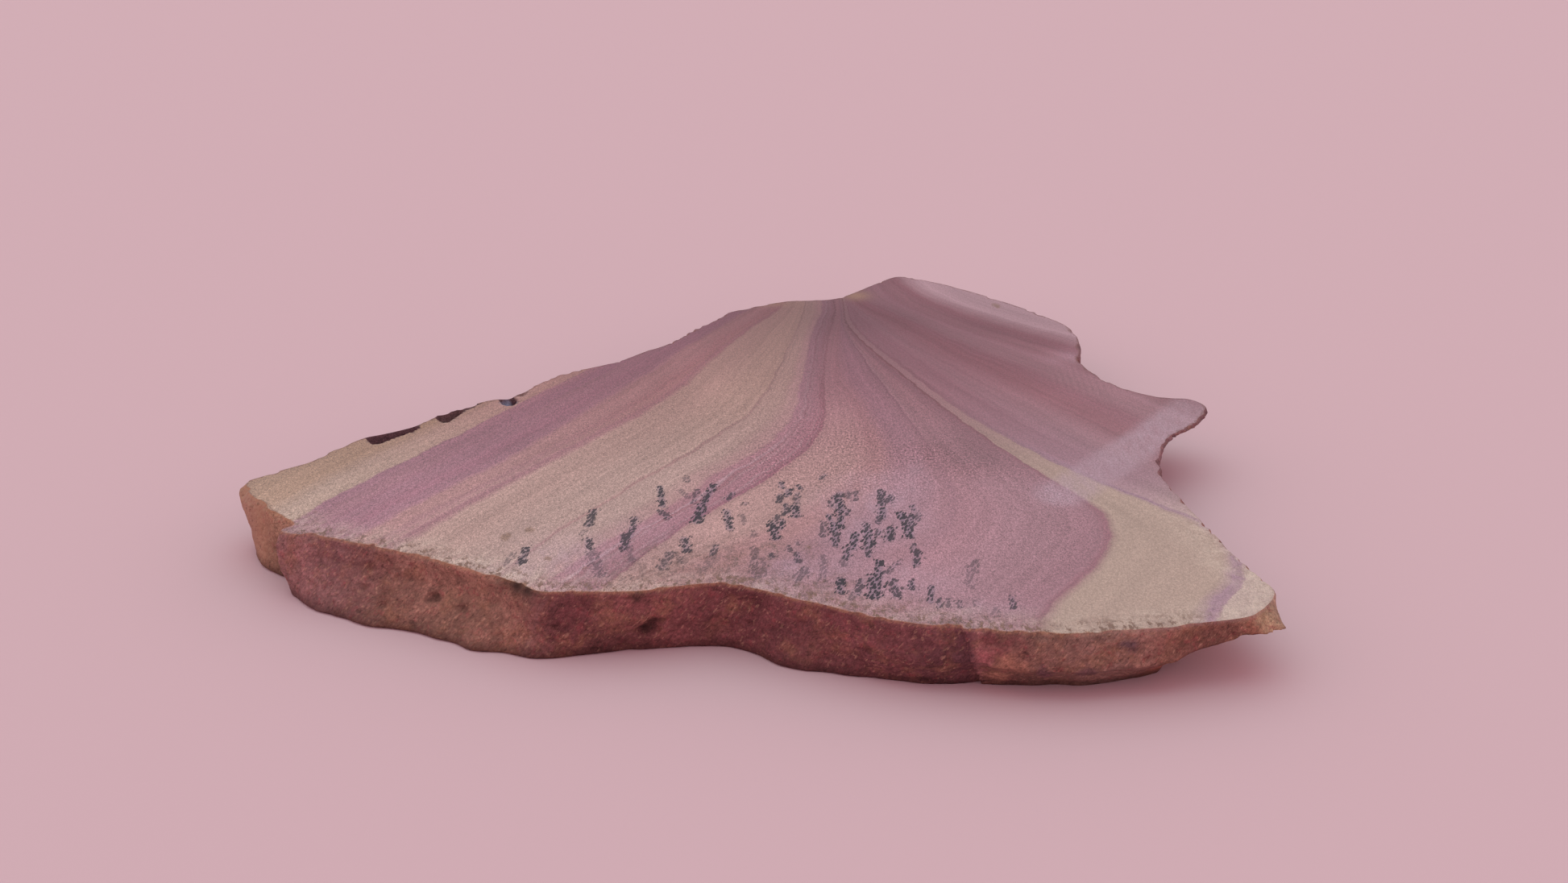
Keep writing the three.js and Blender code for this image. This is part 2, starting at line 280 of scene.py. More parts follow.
flat_wall = wall.reshape(-1, 3)
fade = np.clip((THICKNESS - flat_wall[:, 2]) / FULL_FROM_TOP, CREST_SHARE, 1)
fade = fade * np.clip(flat_wall[:, 2] / FULL_FROM_FOOT, 0, 1)
push = np.array([grit(spot) for spot in flat_wall]) * fade
print("grit reaches out up to mm:", round(float(push.max()), 2))

# %% [markdown]
# Gas bubbles left pits. The larger ones are the solid's own, and the rest are scattered with
# a fixed seed. Each is a squashed bowl. How deep a point lies in one is kept, because the
# material paints shade into the bottoms of the pits, more into the larger ones.

# %% Pits
PITS, PIT_RADIUS, PIT_SPREAD, PIT_DEPTHS = 380, 0.2, 0.42, (0.4, 0.8)
PIT_ROWS = (8, 4)  # rows at the top and at the foot that stay free of small pits
LARGE_PIT = 0.9  # radius from which a pit is a large one
LARGE_DEPTH, SMALL_DEPTH = 0.9, 0.55  # depths as shares of the radius
PIT_SQUASH = (0.75, 1, 1.25)  # pits are wider than they are high
BIG_PITS = [  # x, y, z and radius
    (-9.9, -51.9, 2.9, 1.15), (-9.3, -52.0, 3.9, 0.9), (-34.9, -45.1, 3.6, 0.85),
    (-31.3, -47.4, 3.3, 0.7), (-43.5, -41.9, 3.3, 0.6), (-16.0, -52.6, 5.5, 0.45),
    (7.0, -54.9, 5.5, 0.6), (14.1, -58.6, 3.9, 0.6), (20.7, -60.7, 5.6, 0.6),
    (42.0, -62.1, 6.0, 0.5), (37.6, -61.7, 2.5, 0.6), (-18.6, 22.8, 4.4, 1.0),
    (-3.2, 44.6, 3.4, 1.1), (31.1, 57.4, 4.0, 1.0), (48.3, 29.0, 4.3, 1.0),
]

pit = np.zeros(len(flat_wall))
pits = []
for *spot, radius in BIG_PITS:
    nearest = np.argmin(np.linalg.norm(flat_wall - spot, axis=1))
    pits.append((flat_wall[nearest], radius, LARGE_DEPTH if radius > LARGE_PIT else SMALL_DEPTH))
for _ in range(PITS):
    column = random.randrange(columns)
    home = flat_wall[column * row_count + random.randrange(PIT_ROWS[0], row_count - PIT_ROWS[1])]
    radius = PIT_RADIUS + PIT_SPREAD * random.random() ** 4
    pits.append((home, radius, random.uniform(*PIT_DEPTHS)))
for home, radius, deep in pits:
    near = np.abs(flat_wall[:, 0] - home[0]) < radius * 2
    reach = np.linalg.norm((flat_wall[near] - home) * PIT_SQUASH, axis=1) / radius
    bowl = np.clip(1 - reach**2, 0, 1)
    push[near] -= radius * deep * np.sqrt(bowl)
    # painted shade: this value darkens the colour later, most at the bottom of a large pit
    pit[near] = np.maximum(pit[near], bowl * min(1, radius**2))
print("pits:", len(pits))

# %% [markdown]
# One old crack crosses the front of the rim at a slant, and the stone has broken back a
# little on one side of it. With that, the push is complete and moves the points.

# %% The old crack
BREAK_AT, BREAK_DEPTH, BREAK_REACH, BREAK_TILT = (25.1, -61.7), 0.8, 3.2, -0.27

break_s = rim_s[np.argmin(np.hypot(*(edge - BREAK_AT).T))]
past_break = np.repeat(rim_s, row_count) - break_s + (flat_wall[:, 2] - THICKNESS / 2) * BREAK_TILT
notched = (past_break > 0) & (past_break < BREAK_REACH)
push -= np.where(notched, BREAK_DEPTH * (1 - past_break / BREAK_REACH), 0)
wall_out = np.repeat(outward, row_count, axis=0)
flat_wall[:, :2] += wall_out * push[:, None]
print("points beside the crack:", int(notched.sum()))

# %% [markdown]
# ## Bands of flow
# Each boundary between two layers is a curve across the slab, given as x at a few values of
# y. The curves never cross, so any point lies a certain share of the way from one curve to
# the next. Giving every curve a fixed number turns that share into one smooth value, called
# flow here, and a colour ramp over it paints crisp bands at any resolution. Lines of equal
# flow also bend as the lava did, which is what the fine laminae between the bands need.
# Each entry has a name, its number, and its points as y and x.

# %% Band curves
BANDS = [
    ("rind", -48.4, [(-66, -73), (-34, -58), (-20, -51.4), (0, -39), (20, -26.5), (64, 0)]),
    ("mauve", -43.2, [(-66, -69), (-45, -59.3), (-34, -53.2), (-30, -51.5), (-25, -49),
                      (-20, -46.2), (-15, -43.2), (-10, -40.2), (-5, -37), (0, -33.8),
                      (5, -31), (10, -28.3), (15, -25), (20, -22), (30, -16), (64, 2)]),
    ("mauve_end", -30.2, [(-66, -62), (-45, -49), (-35, -42.8), (-30, -40), (-25, -36.8),
                          (-20, -33.7), (-15, -30.2), (-10, -27.7), (-5, -25), (0, -22.3),
                          (5, -20), (10, -17.5), (15, -15), (20, -12.5), (25, -10.5),
                          (30, -8), (35, -5.5), (40, -3), (45, -0.5), (64, 7)]),
    ("stripe", -28.0, [(-66, -57.4), (-40, -42.6), (-30, -37), (-20, -30.6), (-15, -27.5),
                       (-10, -24.5), (0, -18.7), (10, -13), (20, -8.7), (35, -2.6),
                       (45, 2.5), (64, 8)]),
    ("stripe_end", -25.4, [(-66, -55), (-40, -39.2), (-30, -33.7), (-20, -27.6), (-15, -24.6),
                           (-10, -21.5), (0, -15), (10, -10), (20, -6.4), (35, -0.6),
                           (45, 4), (64, 8.6)]),
    ("hairline", -8.9, [(-66, -36), (-43, -24.6), (-37, -22), (-30, -18), (-25, -15),
                        (-20, -12.4), (-15, -8.9), (-10, -6), (-5, -3.3), (0, -0.5),
                        (10, 2.6), (25, 5.2), (40, 7.4), (64, 9.2)]),
    ("bundle", -0.6, [(-66, -32), (-50, -21.4), (-45, -18.8), (-40, -16), (-35, -12.6),
                      (-30, -9.2), (-25, -6.2), (-20, -4.2), (-15, -0.6), (-10, 2.5),
                      (-5, 4.4), (0, 6), (5, 6.8), (10, 7.2), (20, 8), (35, 9.2),
                      (45, 10.8), (64, 10.6)]),
    ("bundle_end", 5.6, [(-66, -24), (-50, -14.4), (-45, -12.2), (-40, -9.6), (-35, -6.8),
                         (-30, -3.6), (-25, -0.2), (-20, 3), (-15, 5.6), (-10, 8),
                         (-5, 9.4), (0, 10.2), (10, 10.4), (20, 10.9), (35, 12),
                         (45, 13), (64, 11.4)]),
    ("wedge_end", 15.8, [(-66, -20), (-50, -9), (-40, 0), (-35, 5), (-30, 8.6), (-25, 11.8),
                         (-20, 14.5), (-15, 15.8), (-10, 16), (-5, 15.6), (0, 15),
                         (5, 14.2), (10, 13.2), (14, 12), (25, 12), (45, 13.4), (64, 12)]),
    ("lobe", 26.0, [(-66, 8), (-55, 14), (-45, 20), (-35, 25.2), (-28, 26.6), (-20, 25.6),
                    (-15, 24.8), (-10, 23.8), (-5, 22.8), (0, 21.7), (10, 19.5), (20, 17.3),
                    (30, 15.2), (40, 13.8), (48, 13.6), (64, 12.6)]),
    ("lobe_rim", 34.0, [(-66, 28.4), (-58, 31), (-50, 35.4), (-44, 39), (-37, 41.2),
                        (-31, 41.2), (-25, 39), (-18, 35.5), (-11, 31.9), (-6, 29.6),
                        (-1, 27.5), (4, 25.4), (10, 23), (16, 20.8), (22, 18.6), (27, 16.9),
                        (33, 15), (38, 14), (48, 13.8), (64, 13)]),
    ("cream", 35.9, [(-66, 30.3), (-61.5, 31.8), (-58, 33), (-54, 35), (-50, 37.5),
                     (-47, 39.4), (-44, 41), (-40, 42.5), (-37, 43.1), (-34, 43.3),
                     (-31, 43), (-28, 41.8), (-25, 40.2), (-22, 38.6), (-18, 36.6),
                     (-14.5, 35), (-11, 33.1), (-6, 30.8), (-1, 28.7), (4, 26.7), (10, 24.3),
                     (16, 22), (22, 19.8), (27, 17.9), (33, 15.9), (38, 14.6), (48, 14),
                     (64, 13.4)]),
    ("purple_line", 40.2, [(-66, 48), (-61, 49.2), (-58, 50.0), (-54, 52.1), (-50, 54.5),
                           (-46, 55.7), (-42, 56), (-36, 55), (-31, 51.7), (-27, 48.3),
                           (-23, 44.9), (-19, 41.9), (-15.5, 39.3), (-10.5, 36.2),
                           (-6, 33.4), (-2, 31.0), (3, 28.4), (10, 25.4), (22, 20.6), (38, 15.1),
                           (48, 14.2), (64, 13.8)]),
    ("outer", 40.9, [(-66, 49.3), (-59.5, 50.8), (-55, 52.9), (-51, 55.3), (-47, 56.8),
                     (-43, 57.1), (-38, 56.3), (-35, 55.4), (-31, 52.6), (-27, 49.1),
                     (-23, 45.7), (-19, 42.7), (-10.5, 36.9), (-2, 31.6), (3, 29), (10, 26),
                     (22, 21.1), (38, 15.6), (48, 14.6), (64, 14.2)]),
    ("plum_one", 49.0, [(-66, 66), (-20, 56), (-10, 49), (0, 43), (5, 40), (10, 37),
                        (15, 34), (20, 31), (25, 28), (30, 25.5), (35, 22.8), (40, 20.2),
                        (45, 17), (50, 15), (64, 14.8)]),
    ("plum_one_end", 56.0, [(-66, 74), (-20, 64), (-10, 58), (0, 52.5), (5, 49), (10, 45.5),
                            (15, 42), (20, 39), (25, 34.8), (30, 31), (35, 27.6), (40, 24.4),
                            (45, 20.6), (50, 17.6), (64, 15.6)]),
    ("plum_two", 62.0, [(-66, 84), (-20, 76), (0, 64), (15, 54), (20, 50), (25, 45.8),
                        (30, 40.6), (35, 35.4), (40, 31), (45, 27.6), (50, 25), (55, 23),
                        (64, 20)]),
    ("plum_two_end", 67.0, [(-66, 90), (-20, 84), (0, 74), (20, 58), (25, 53.5), (30, 48.6),
                            (35, 43.4), (40, 37.6), (45, 33), (50, 28.8), (55, 25.8),
                            (60, 24.2), (64, 23.6)]),
]
LEAST_GAP = 0.02  # mm between curves, where they run together


def curve_x(points, y):
    py, px = np.array(sorted(points), dtype=float).T
    slope = np.gradient(px, py)
    i = np.clip(np.searchsorted(py, y) - 1, 0, len(py) - 2)
    gap = py[i + 1] - py[i]
    t = np.clip((y - py[i]) / gap, 0, 1)
    start = px[i] * (1 + 2 * t) * (1 - t) ** 2 + slope[i] * gap * t * (1 - t) ** 2
    end = px[i + 1] * t * t * (3 - 2 * t) + slope[i + 1] * gap * t * t * (t - 1)
    return start + end


def flow_at(x, y):
    places = np.stack([curve_x(points, y) for _, _, points in BANDS])
    apart = LEAST_GAP * np.arange(len(BANDS))[:, None]
    places = np.maximum.accumulate(places + apart, axis=0)
    numbers = np.array([number for _, number, _ in BANDS])
    flow = np.where(x < places[0], numbers[0] + (x - places[0]), 0.0)
    flow = np.where(x >= places[-1], numbers[-1] + (x - places[-1]), flow)
    for k in range(len(BANDS) - 1):
        share = (x - places[k]) / (places[k + 1] - places[k])
        inside = (x >= places[k]) & (x < places[k + 1])
        flow = np.where(inside, numbers[k] + share * (numbers[k + 1] - numbers[k]), flow)
    return flow


print("bands:", len(BANDS))

# %% [markdown]
# ## Dendrites
# Manganese dendrites grow as rows of small leaf-shaped specks along a thread. Each thread
# here is a short stroke from its far end to its near end, with a width and a strength. The
# mesh stores how deep each point lies in a thread. The material then sows one speck in each
# small cell there, which keeps the specks crisp at any size.

# %% Dendrite threads
THREADS = [
    (-17.7, -30.2, -18.0, -34.8, 0.9, 0.9), (-18.3, -36.0, -18.6, -37.2, 0.5, 0.5),
    (-17.7, -38.5, -17.3, -41.2, 0.8, 0.9), (-17.0, -42.0, -15.5, -48.0, 2.0, 0.5),
    (-24.6, -41.0, -24.8, -45.0, 1.1, 0.95), (-26.0, -42.5, -26.5, -45.2, 0.8, 0.5),
    (-12.6, -32.4, -12.9, -38.0, 0.9, 0.9), (-13.5, -37.5, -13.2, -41.2, 1.5, 0.9),
    (-12.8, -41.0, -12.3, -44.5, 0.9, 0.45), (-10.2, -23.0, -9.5, -29.0, 0.9, 1.0),
    (-9.8, -30.2, -8.7, -32.5, 0.9, 0.8), (-7.1, -20.3, -6.8, -21.2, 0.9, 0.6),
    (-7.6, -24.2, -6.5, -26.4, 0.8, 0.5), (-3.6, -22.5, -4.8, -29.0, 1.1, 1.0),
    (-5.5, -24.0, -5.9, -28.0, 0.8, 0.7), (-4.8, -28.5, -5.2, -33.6, 1.7, 1.0),
    (-1.2, -25.0, -1.7, -27.0, 0.9, 0.8), (-1.8, -30.3, -1.3, -35.6, 1.1, 1.0),
    (0.4, -28.0, 0.5, -28.4, 0.3, 0.8), (0.2, -31.5, 0.3, -34.2, 0.5, 0.5),
    (-6.5, -38.2, -6.1, -41.6, 1.2, 0.95), (-8.0, -42.3, -8.7, -46.2, 1.4, 0.7),
    (-6.9, -43.0, -6.5, -45.0, 0.8, 0.4), (-2.8, -40.3, -3.2, -42.8, 0.7, 0.8),
    (-3.0, -43.0, -4.0, -47.0, 1.2, 0.35), (4.7, -21.7, 4.9, -23.4, 0.7, 1.0),
    (5.6, -24.0, 5.5, -25.6, 1.0, 1.0), (4.6, -25.4, 4.5, -27.5, 0.7, 0.9),
    (6.8, -22.6, 7.1, -23.6, 0.7, 0.9), (6.7, -25.0, 6.6, -28.2, 0.7, 0.8),
    (5.3, -28.3, 5.3, -31.2, 0.7, 0.9), (6.4, -29.0, 6.5, -31.9, 1.5, 1.0),
    (4.3, -31.8, 4.0, -34.0, 0.9, 0.8), (3.8, -34.0, 4.1, -38.4, 1.4, 1.0),
    (4.9, -33.0, 4.7, -35.6, 0.7, 1.0), (1.7, -36.3, 1.4, -37.6, 0.6, 0.5),
    (1.6, -41.0, 1.9, -48.4, 1.3, 0.5), (2.8, -44.0, 2.8, -48.2, 0.9, 0.4),
    (9.6, -20.4, 10.2, -19.1, 0.7, 0.8), (12.0, -24.8, 11.6, -27.0, 0.9, 0.9),
    (11.5, -26.0, 11.9, -30.6, 1.6, 1.0), (10.6, -27.5, 10.8, -29.2, 0.6, 0.8),
    (12.9, -24.5, 13.0, -26.2, 0.6, 0.7), (13.9, -24.5, 13.8, -27.2, 0.6, 0.7),
    (10.4, -31.5, 10.6, -33.2, 0.8, 1.0), (11.9, -31.8, 11.6, -35.0, 1.2, 1.0),
    (11.0, -34.0, 10.9, -36.2, 1.3, 1.0), (9.7, -33.5, 9.6, -37.6, 0.8, 0.7),
    (11.1, -36.5, 11.0, -40.2, 0.9, 0.9), (12.7, -30.3, 12.6, -31.6, 0.5, 0.9),
    (13.5, -37.0, 13.0, -41.0, 1.1, 1.0), (12.6, -41.0, 12.1, -43.8, 0.9, 0.9),
    (17.0, -24.3, 16.8, -28.6, 1.0, 0.9), (18.0, -25.8, 17.8, -27.6, 0.8, 0.8),
    (16.9, -29.8, 16.8, -32.4, 1.2, 0.95), (16.3, -32.0, 16.2, -34.0, 0.5, 0.8),
    (14.8, -34.4, 14.8, -36.2, 0.8, 0.9), (14.9, -36.3, 14.9, -40.4, 1.3, 1.0),
    (14.7, -40.0, 14.7, -43.2, 0.9, 0.9), (17.6, -35.4, 17.4, -38.5, 1.2, 0.95),
    (16.3, -35.8, 16.0, -37.2, 0.6, 0.8), (20.6, -28.7, 20.7, -30.6, 0.6, 0.8),
    (19.0, -31.0, 19.2, -33.2, 0.9, 1.0), (20.3, -31.6, 19.9, -35.0, 1.1, 0.9),
    (19.6, -34.4, 19.8, -37.6, 1.4, 1.0), (21.2, -31.2, 20.9, -33.2, 0.6, 0.7),
    (20.1, -39.8, 20.0, -42.0, 0.5, 0.8), (20.4, -42.0, 20.0, -45.6, 1.0, 0.9),
    (5.6, -40.3, 5.7, -41.6, 0.5, 0.7), (3.6, -42.5, 3.7, -43.4, 0.5, 0.8),
    (6.6, -42.4, 6.6, -44.8, 0.6, 0.8), (6.7, -39.3, 6.6, -39.9, 0.4, 0.7),
    (9.5, -43.0, 9.5, -49.6, 0.7, 0.45), (11.7, -44.0, 11.8, -45.6, 0.5, 0.5),
    (15.9, -44.6, 15.5, -50.0, 1.1, 1.0), (15.4, -48.6, 15.0, -53.6, 2.1, 1.0),
    (18.2, -44.6, 16.5, -47.6, 0.4, 0.7), (11.4, -49.3, 11.3, -52.4, 1.0, 1.0),
    (13.7, -49.4, 13.1, -53.0, 1.0, 0.8), (12.8, -51.8, 12.3, -54.2, 0.6, 0.5),
    (17.2, -49.4, 17.5, -53.6, 1.2, 0.85), (19.3, -49.7, 19.2, -51.6, 0.8, 0.9),
    (21.5, -51.0, 21.1, -55.0, 0.7, 0.9), (22.0, -54.3, 22.0, -56.2, 0.5, 0.8),
    (23.0, -54.3, 23.0, -56.2, 0.5, 0.6), (24.3, -54.7, 24.2, -56.2, 0.5, 0.6),
    (26.0, -54.6, 26.1, -55.8, 0.7, 0.4), (26.8, -44.3, 26.4, -47.0, 0.9, 0.5),
    (26.0, -46.0, 25.8, -51.0, 1.3, 0.4), (30.1, -53.8, 30.0, -56.6, 0.5, 0.8),
    (7.6, -46.4, 6.6, -49.4, 1.4, 0.55), (28.2, -56.4, 28.0, -58.2, 0.7, 0.35),
]
THREAD_EDGE = 0.3


def from_stroke(points, start, end):
    """How far each point is from a straight stroke, and at what share of its length."""
    a, b = np.array(start), np.array(end)
    t = np.clip((points - a) @ (b - a) / ((b - a) @ (b - a)), 0, 1)
    return np.linalg.norm(points - a - t[:, None] * (b - a), axis=1), t


def thread_depth(points):
    """How deep each point lies in the nearest thread, 0 to 1, and how dark that thread is."""
    depth, strength = np.zeros(len(points)), np.zeros(len(points))
    for x0, y0, x1, y1, wide, strong in THREADS:
        away, _ = from_stroke(points, (x0, y0), (x1, y1))
        value = np.clip(1 - away / (wide / 2 + THREAD_EDGE), 0, 1)
        better = value > depth
        depth[better], strength[better] = value[better], strong
    return depth, strength


print("dendrite threads:", len(THREADS))

# %% [markdown]
# ## Points of the two flat faces
# The upper face needs points close together only where specks and hollows are, so a coarse
# honeycomb is thinned there and a fine one put in. Points too near the rim are dropped, and a
# Delaunay triangulation joins what is left to the rim's own upper ring.

# %% Points inside an outline


def honeycomb(low, high, step):
    ys = np.arange(low[1], high[1], step * math.sqrt(0.75))
    rows_of_points = []
    for k, y in enumerate(ys):
        xs = np.arange(low[0] + (k % 2) * step / 2, high[0], step)
        rows_of_points.append(np.stack([xs, np.full(len(xs), y)], axis=1))
    return np.concatenate(rows_of_points)


def inside(points, ring):
    hit = np.zeros(len(points), dtype=bool)
    for a, b in zip(ring, np.roll(ring, -1, axis=0)):
        crosses = (a[1] > points[:, 1]) != (b[1] > points[:, 1])
        if a[1] != b[1]:
            x = a[0] + (points[:, 1] - a[1]) / (b[1] - a[1]) * (b[0] - a[0])
            hit ^= crosses & (points[:, 0] < x)
    return hit


def ring_distance(points, ring):
    nearest = np.full(len(points), 1e9)
    for a in ring:
        nearest = np.minimum(nearest, (points[:, 0] - a[0]) ** 2 + (points[:, 1] - a[1]) ** 2)
    return np.sqrt(nearest)


print("a 1 mm honeycomb has", len(honeycomb((0, 0), (10, 10), 1)), "points in a square cm")

# %% [markdown]
# Four pockets open on the face at the back-left edge: old gas bubbles that the saw cut
# through, dark inside. Each has a depth, a darkness, an inner line that lies on the face,
# and outer points beyond the slab that close the outline. The floor sinks away from the
# inner line, and a thin lip is left standing at the rim.

# %% Pockets in the upper face
POCKETS = [
    (1.3, 1.0, [(-49.8, -6.8), (-49.2, -7.2), (-48.6, -8.4), (-48.0, -9.2), (-47.4, -9.1),
                (-46.8, -8.8), (-46.3, -7.9), (-45.4, -6.8), (-44.3, -5.7), (-43.3, -4.3),
                (-42.7, -3.1), (-42.9, -2.4)], [(-45, 0), (-52, -4)]),
    (1.3, 0.9, [(-41.9, 0.9), (-41.3, 0.2), (-40.7, -0.8), (-39.9, -1.6), (-39.3, -1.4),
                (-38.8, -0.2), (-38.1, 1.6), (-37.6, 3.1), (-36.8, 3.9), (-35.9, 5.4)],
     [(-38, 8), (-44, 4)]),
    (1.6, 1.0, [(-33.9, 7.5), (-33.5, 6.3), (-33.0, 5.1), (-32.2, 4.6), (-31.4, 4.9),
                (-31.0, 5.9), (-31.1, 7.2), (-31.6, 8.1)], [(-32.4, 10), (-35, 9)]),
    (0.3, 0.5, [(-31.8, 7.9), (-31.3, 8.2), (-30.7, 8.2), (-30.1, 8.9), (-29.9, 9.9),
                (-30.1, 11.2)], [(-33, 13), (-34, 9)]),
]
POCKET_BANK, LEAST_SHARE = 0.6, 0.02  # every point in a pocket has at least this share
POCKET_AREA = ((-52, -10), (-29, 13))  # all four lie in this part of the face


def pocket_share(points):
    """How far each point is down the bank of a pocket, with that pocket's depth and shade."""
    share, deep, dark = np.zeros((3, len(points)))
    near = np.flatnonzero(((points > POCKET_AREA[0]) & (points < POCKET_AREA[1])).all(axis=1))
    for pocket_depth, shade_level, inner, outer in POCKETS:
        within = near[inside(points[near], np.array(inner + outer, dtype=float))]
        away = np.full(len(within), 99.0)
        for a, b in zip(inner[:-1], inner[1:]):
            away = np.minimum(away, from_stroke(points[within], a, b)[0])
        share[within] = np.maximum(share[within], np.clip(away / POCKET_BANK, LEAST_SHARE, 1))
        deep[within] = pocket_depth
        dark[within] = shade_level
    return share, deep, dark


print("pockets:", len(POCKETS))

# %% [markdown]
# Now the points themselves. The coarse honeycomb leaves out the threads and the pockets, two
# finer ones fill them, and each pocket's brink gets points of its own to keep it sharp.

# %% Points of the faces
COARSE_STEP, FINE_STEP, POCKET_STEP, UNDER_STEP = 0.75, 0.28, 0.2, 1.5
TOP_CLEAR, UNDER_CLEAR = 0.2, 0.6  # points nearer to the rim's own are dropped
THREAD_MARGIN = 2

rim_points = flat_wall.reshape(columns, row_count, 3)
top_ring, foot_ring = rim_points[:, 0, :2], rim_points[:, -1, :2]
low, high = top_ring.min(axis=0), top_ring.max(axis=0)
coarse = honeycomb(low, high, COARSE_STEP)
coarse = coarse[(thread_depth(coarse)[0] == 0) & (pocket_share(coarse)[0] == 0)]
ends = np.array(THREADS)[:, :4].reshape(-1, 2)
fine = honeycomb(ends.min(axis=0) - THREAD_MARGIN, ends.max(axis=0) + THREAD_MARGIN, FINE_STEP)
fine = fine[thread_depth(fine)[0] > 0]
pocket = honeycomb(*POCKET_AREA, POCKET_STEP)
pocket = pocket[pocket_share(pocket)[0] > 0]
brink = [point for _, _, inner, _ in POCKETS for a, b in zip(inner[:-1], inner[1:])
         for point in (a, ((a[0] + b[0]) / 2, (a[1] + b[1]) / 2))]
face_points = np.concatenate([coarse, fine, pocket, np.array(brink)])
face_points = face_points[inside(face_points, top_ring)]
face_points = face_points[ring_distance(face_points, top_ring) > TOP_CLEAR]
under_points = honeycomb(foot_ring.min(axis=0), foot_ring.max(axis=0), UNDER_STEP)
under_points = under_points[inside(under_points, foot_ring)]
under_points = under_points[ring_distance(under_points, foot_ring) > UNDER_CLEAR]
print("upper face points:", len(face_points), "underside points:", len(under_points))

# %% [markdown]
# A constrained Delaunay triangulation fills each ring with its points. The rim's columns
# join by plain quads. Faces get material 0 above, 1 at the rim and 2 below.

# %% Join the faces to the rim
SAME_POINT = 1e-7  # points nearer than this would be merged


def fill(ring, points):
    flat = [Vector(p) for p in np.concatenate([ring, points])]
    loop = [(k, (k + 1) % len(ring)) for k in range(len(ring))]
    result = geometry.delaunay_2d_cdt(flat, loop, [], 1, SAME_POINT)
    origin = [ids[0] if ids else -1 for ids in result[3]]
    return [tuple(origin[i] for i in face) for face in result[2]]


first_face, first_under = len(flat_wall), len(flat_wall) + len(face_points)
faces, kinds = [], []
for k in range(columns):
    here, there = k * row_count, (k + 1) % columns * row_count
    for r in range(row_count - 1):
        faces.append((here + r, there + r, there + r + 1, here + r + 1))
kinds += [1] * len(faces)
for kind, ring, row, points, first in (
    (0, top_ring, 0, face_points, first_face),
    (2, foot_ring, row_count - 1, under_points, first_under),
):
    patch = fill(ring, points)
    for face in patch:
        ids = [i * row_count + row if i < columns else first + i - columns for i in face]
        a, b, c = (np.concatenate([ring, points])[i] for i in face)
        counter = (b[0] - a[0]) * (c[1] - a[1]) - (b[1] - a[1]) * (c[0] - a[0]) > 0
        faces.append(tuple(ids if counter == (kind == 0) else ids[::-1]))
    kinds += [kind] * len(patch)
spots = np.concatenate([
    flat_wall,
    np.column_stack([face_points, np.full(len(face_points), THICKNESS)]),
    np.column_stack([under_points, np.zeros(len(under_points))]),
])
print("faces:", len(faces))

# %% [markdown]
# ## What each point remembers
# The material reads a few numbers stored on the mesh: the flow value, the distance from the
# broken rim, the depth inside a dendrite thread, how much painted shade the pits get, and how
# dark the pockets are. Soft patches of haze, stain, bleaching, sparkle and tone are ellipses,
# each with its middle x and y, its reach across and along, and its strength. The layers dip
# through the slab, so the pattern shifts a little towards the underside.

# %% Patches on the face
HAZE = [
    (-3, -45, 7, 5, 1.0), (1, -44, 5, 6, 1.0), (-7, -42, 5, 4, 0.8), (2, -42, 4, 5, 0.8),
    (4, -48, 4, 4, 0.8), (8, -43, 3, 5, 0.45), (-10, -48, 6, 3, 0.8),
    (-1, -38.5, 2, 2.5, 0.5), (9, -51, 5, 3.5, 0.9), (16, -56, 6, 2.5, 0.9),
    (24, -59.5, 7, 2.2, 0.9), (-51, -37, 4, 1.6, 0.8),
    (-45, -39.4, 5, 1.6, 0.7), (-38, -42.4, 6, 1.6, 0.7), (-29, -46.6, 5, 1.8, 0.3),
    (-19, -50, 5, 2, 0.35), (34, -60.6, 5, 2.0, 0.35), (42, -60, 6, 2.4, 0.5),
    (50, -58.6, 4, 1.6, 0.1), (0, -49, 4, 2.4, 1.0), (5, -51.5, 5, 2, 0.8),
    (-4, -48, 3, 2, 0.9), (12, -54.5, 5, 1.6, 0.8), (-15, -50.5, 6, 1.6, 0.7),
    (-12, -45, 4, 3, 0.6),
]
STAINS = [
    (-27.4, -37.7, 0.8, 1.3, 1.0), (-24.8, -35.8, 0.8, 1.0, 0.9), (-50.9, -30.6, 0.4, 0.5, 0.8),
    (-26.1, -49.7, 1.2, 1.2, 0.7), (-24.8, -50.5, 1.3, 1.3, 1.2), (-23.4, -51.5, 1.4, 1.2, 1.1),
    (-22.3, -52.2, 1.1, 1.0, 0.6), (37.7, 48.0, 1.2, 2.4, 0.75), (-21.8, -43.8, 0.6, 1.0, 0.8),
    (-17.4, -46.4, 0.5, 1.2, 0.5), (-42.0, -33.4, 0.3, 0.5, 0.5), (44.0, -7.0, 0.3, 0.5, 0.6),
    (8.0, -40.6, 0.5, 1.6, 0.5),
]
HALO = [
    (12, -27, 4, 5, 0.6), (17, -27, 4, 6, 0.8), (14, -36, 4, 5, 0.6), (20, -33, 3, 6, 0.5),
    (16, -21, 5, 3, 0.6), (20, -23, 3, 4, 0.6), (11, -47, 4, 4, 0.5), (18, -50, 6, 5, 0.6),
    (38.6, -25, 2.6, 3.4, 0.9), (46, 24, 3, 3, 0.5), (6, -47, 2.5, 4, 0.7),
    (27, -57, 5, 3, 0.5), (-10, -38, 3, 5, 0.3), (21.6, -18, 1.0, 4, 0.5),
    (-19, -43, 6, 6, 0.6), (-24, -47, 6, 3, 0.6), (-12, -36, 4, 4, 0.35),
]
SPARKLE = [
    (14, -9, 7, 7, 0.9), (22, -13, 7, 5, 1.0), (28, -17.5, 5, 3.5, 0.9), (4, -15, 5, 9, 0.9),
    (12, -19, 12, 8, 0.8), (8, -5, 4, 6, 0.8),
]
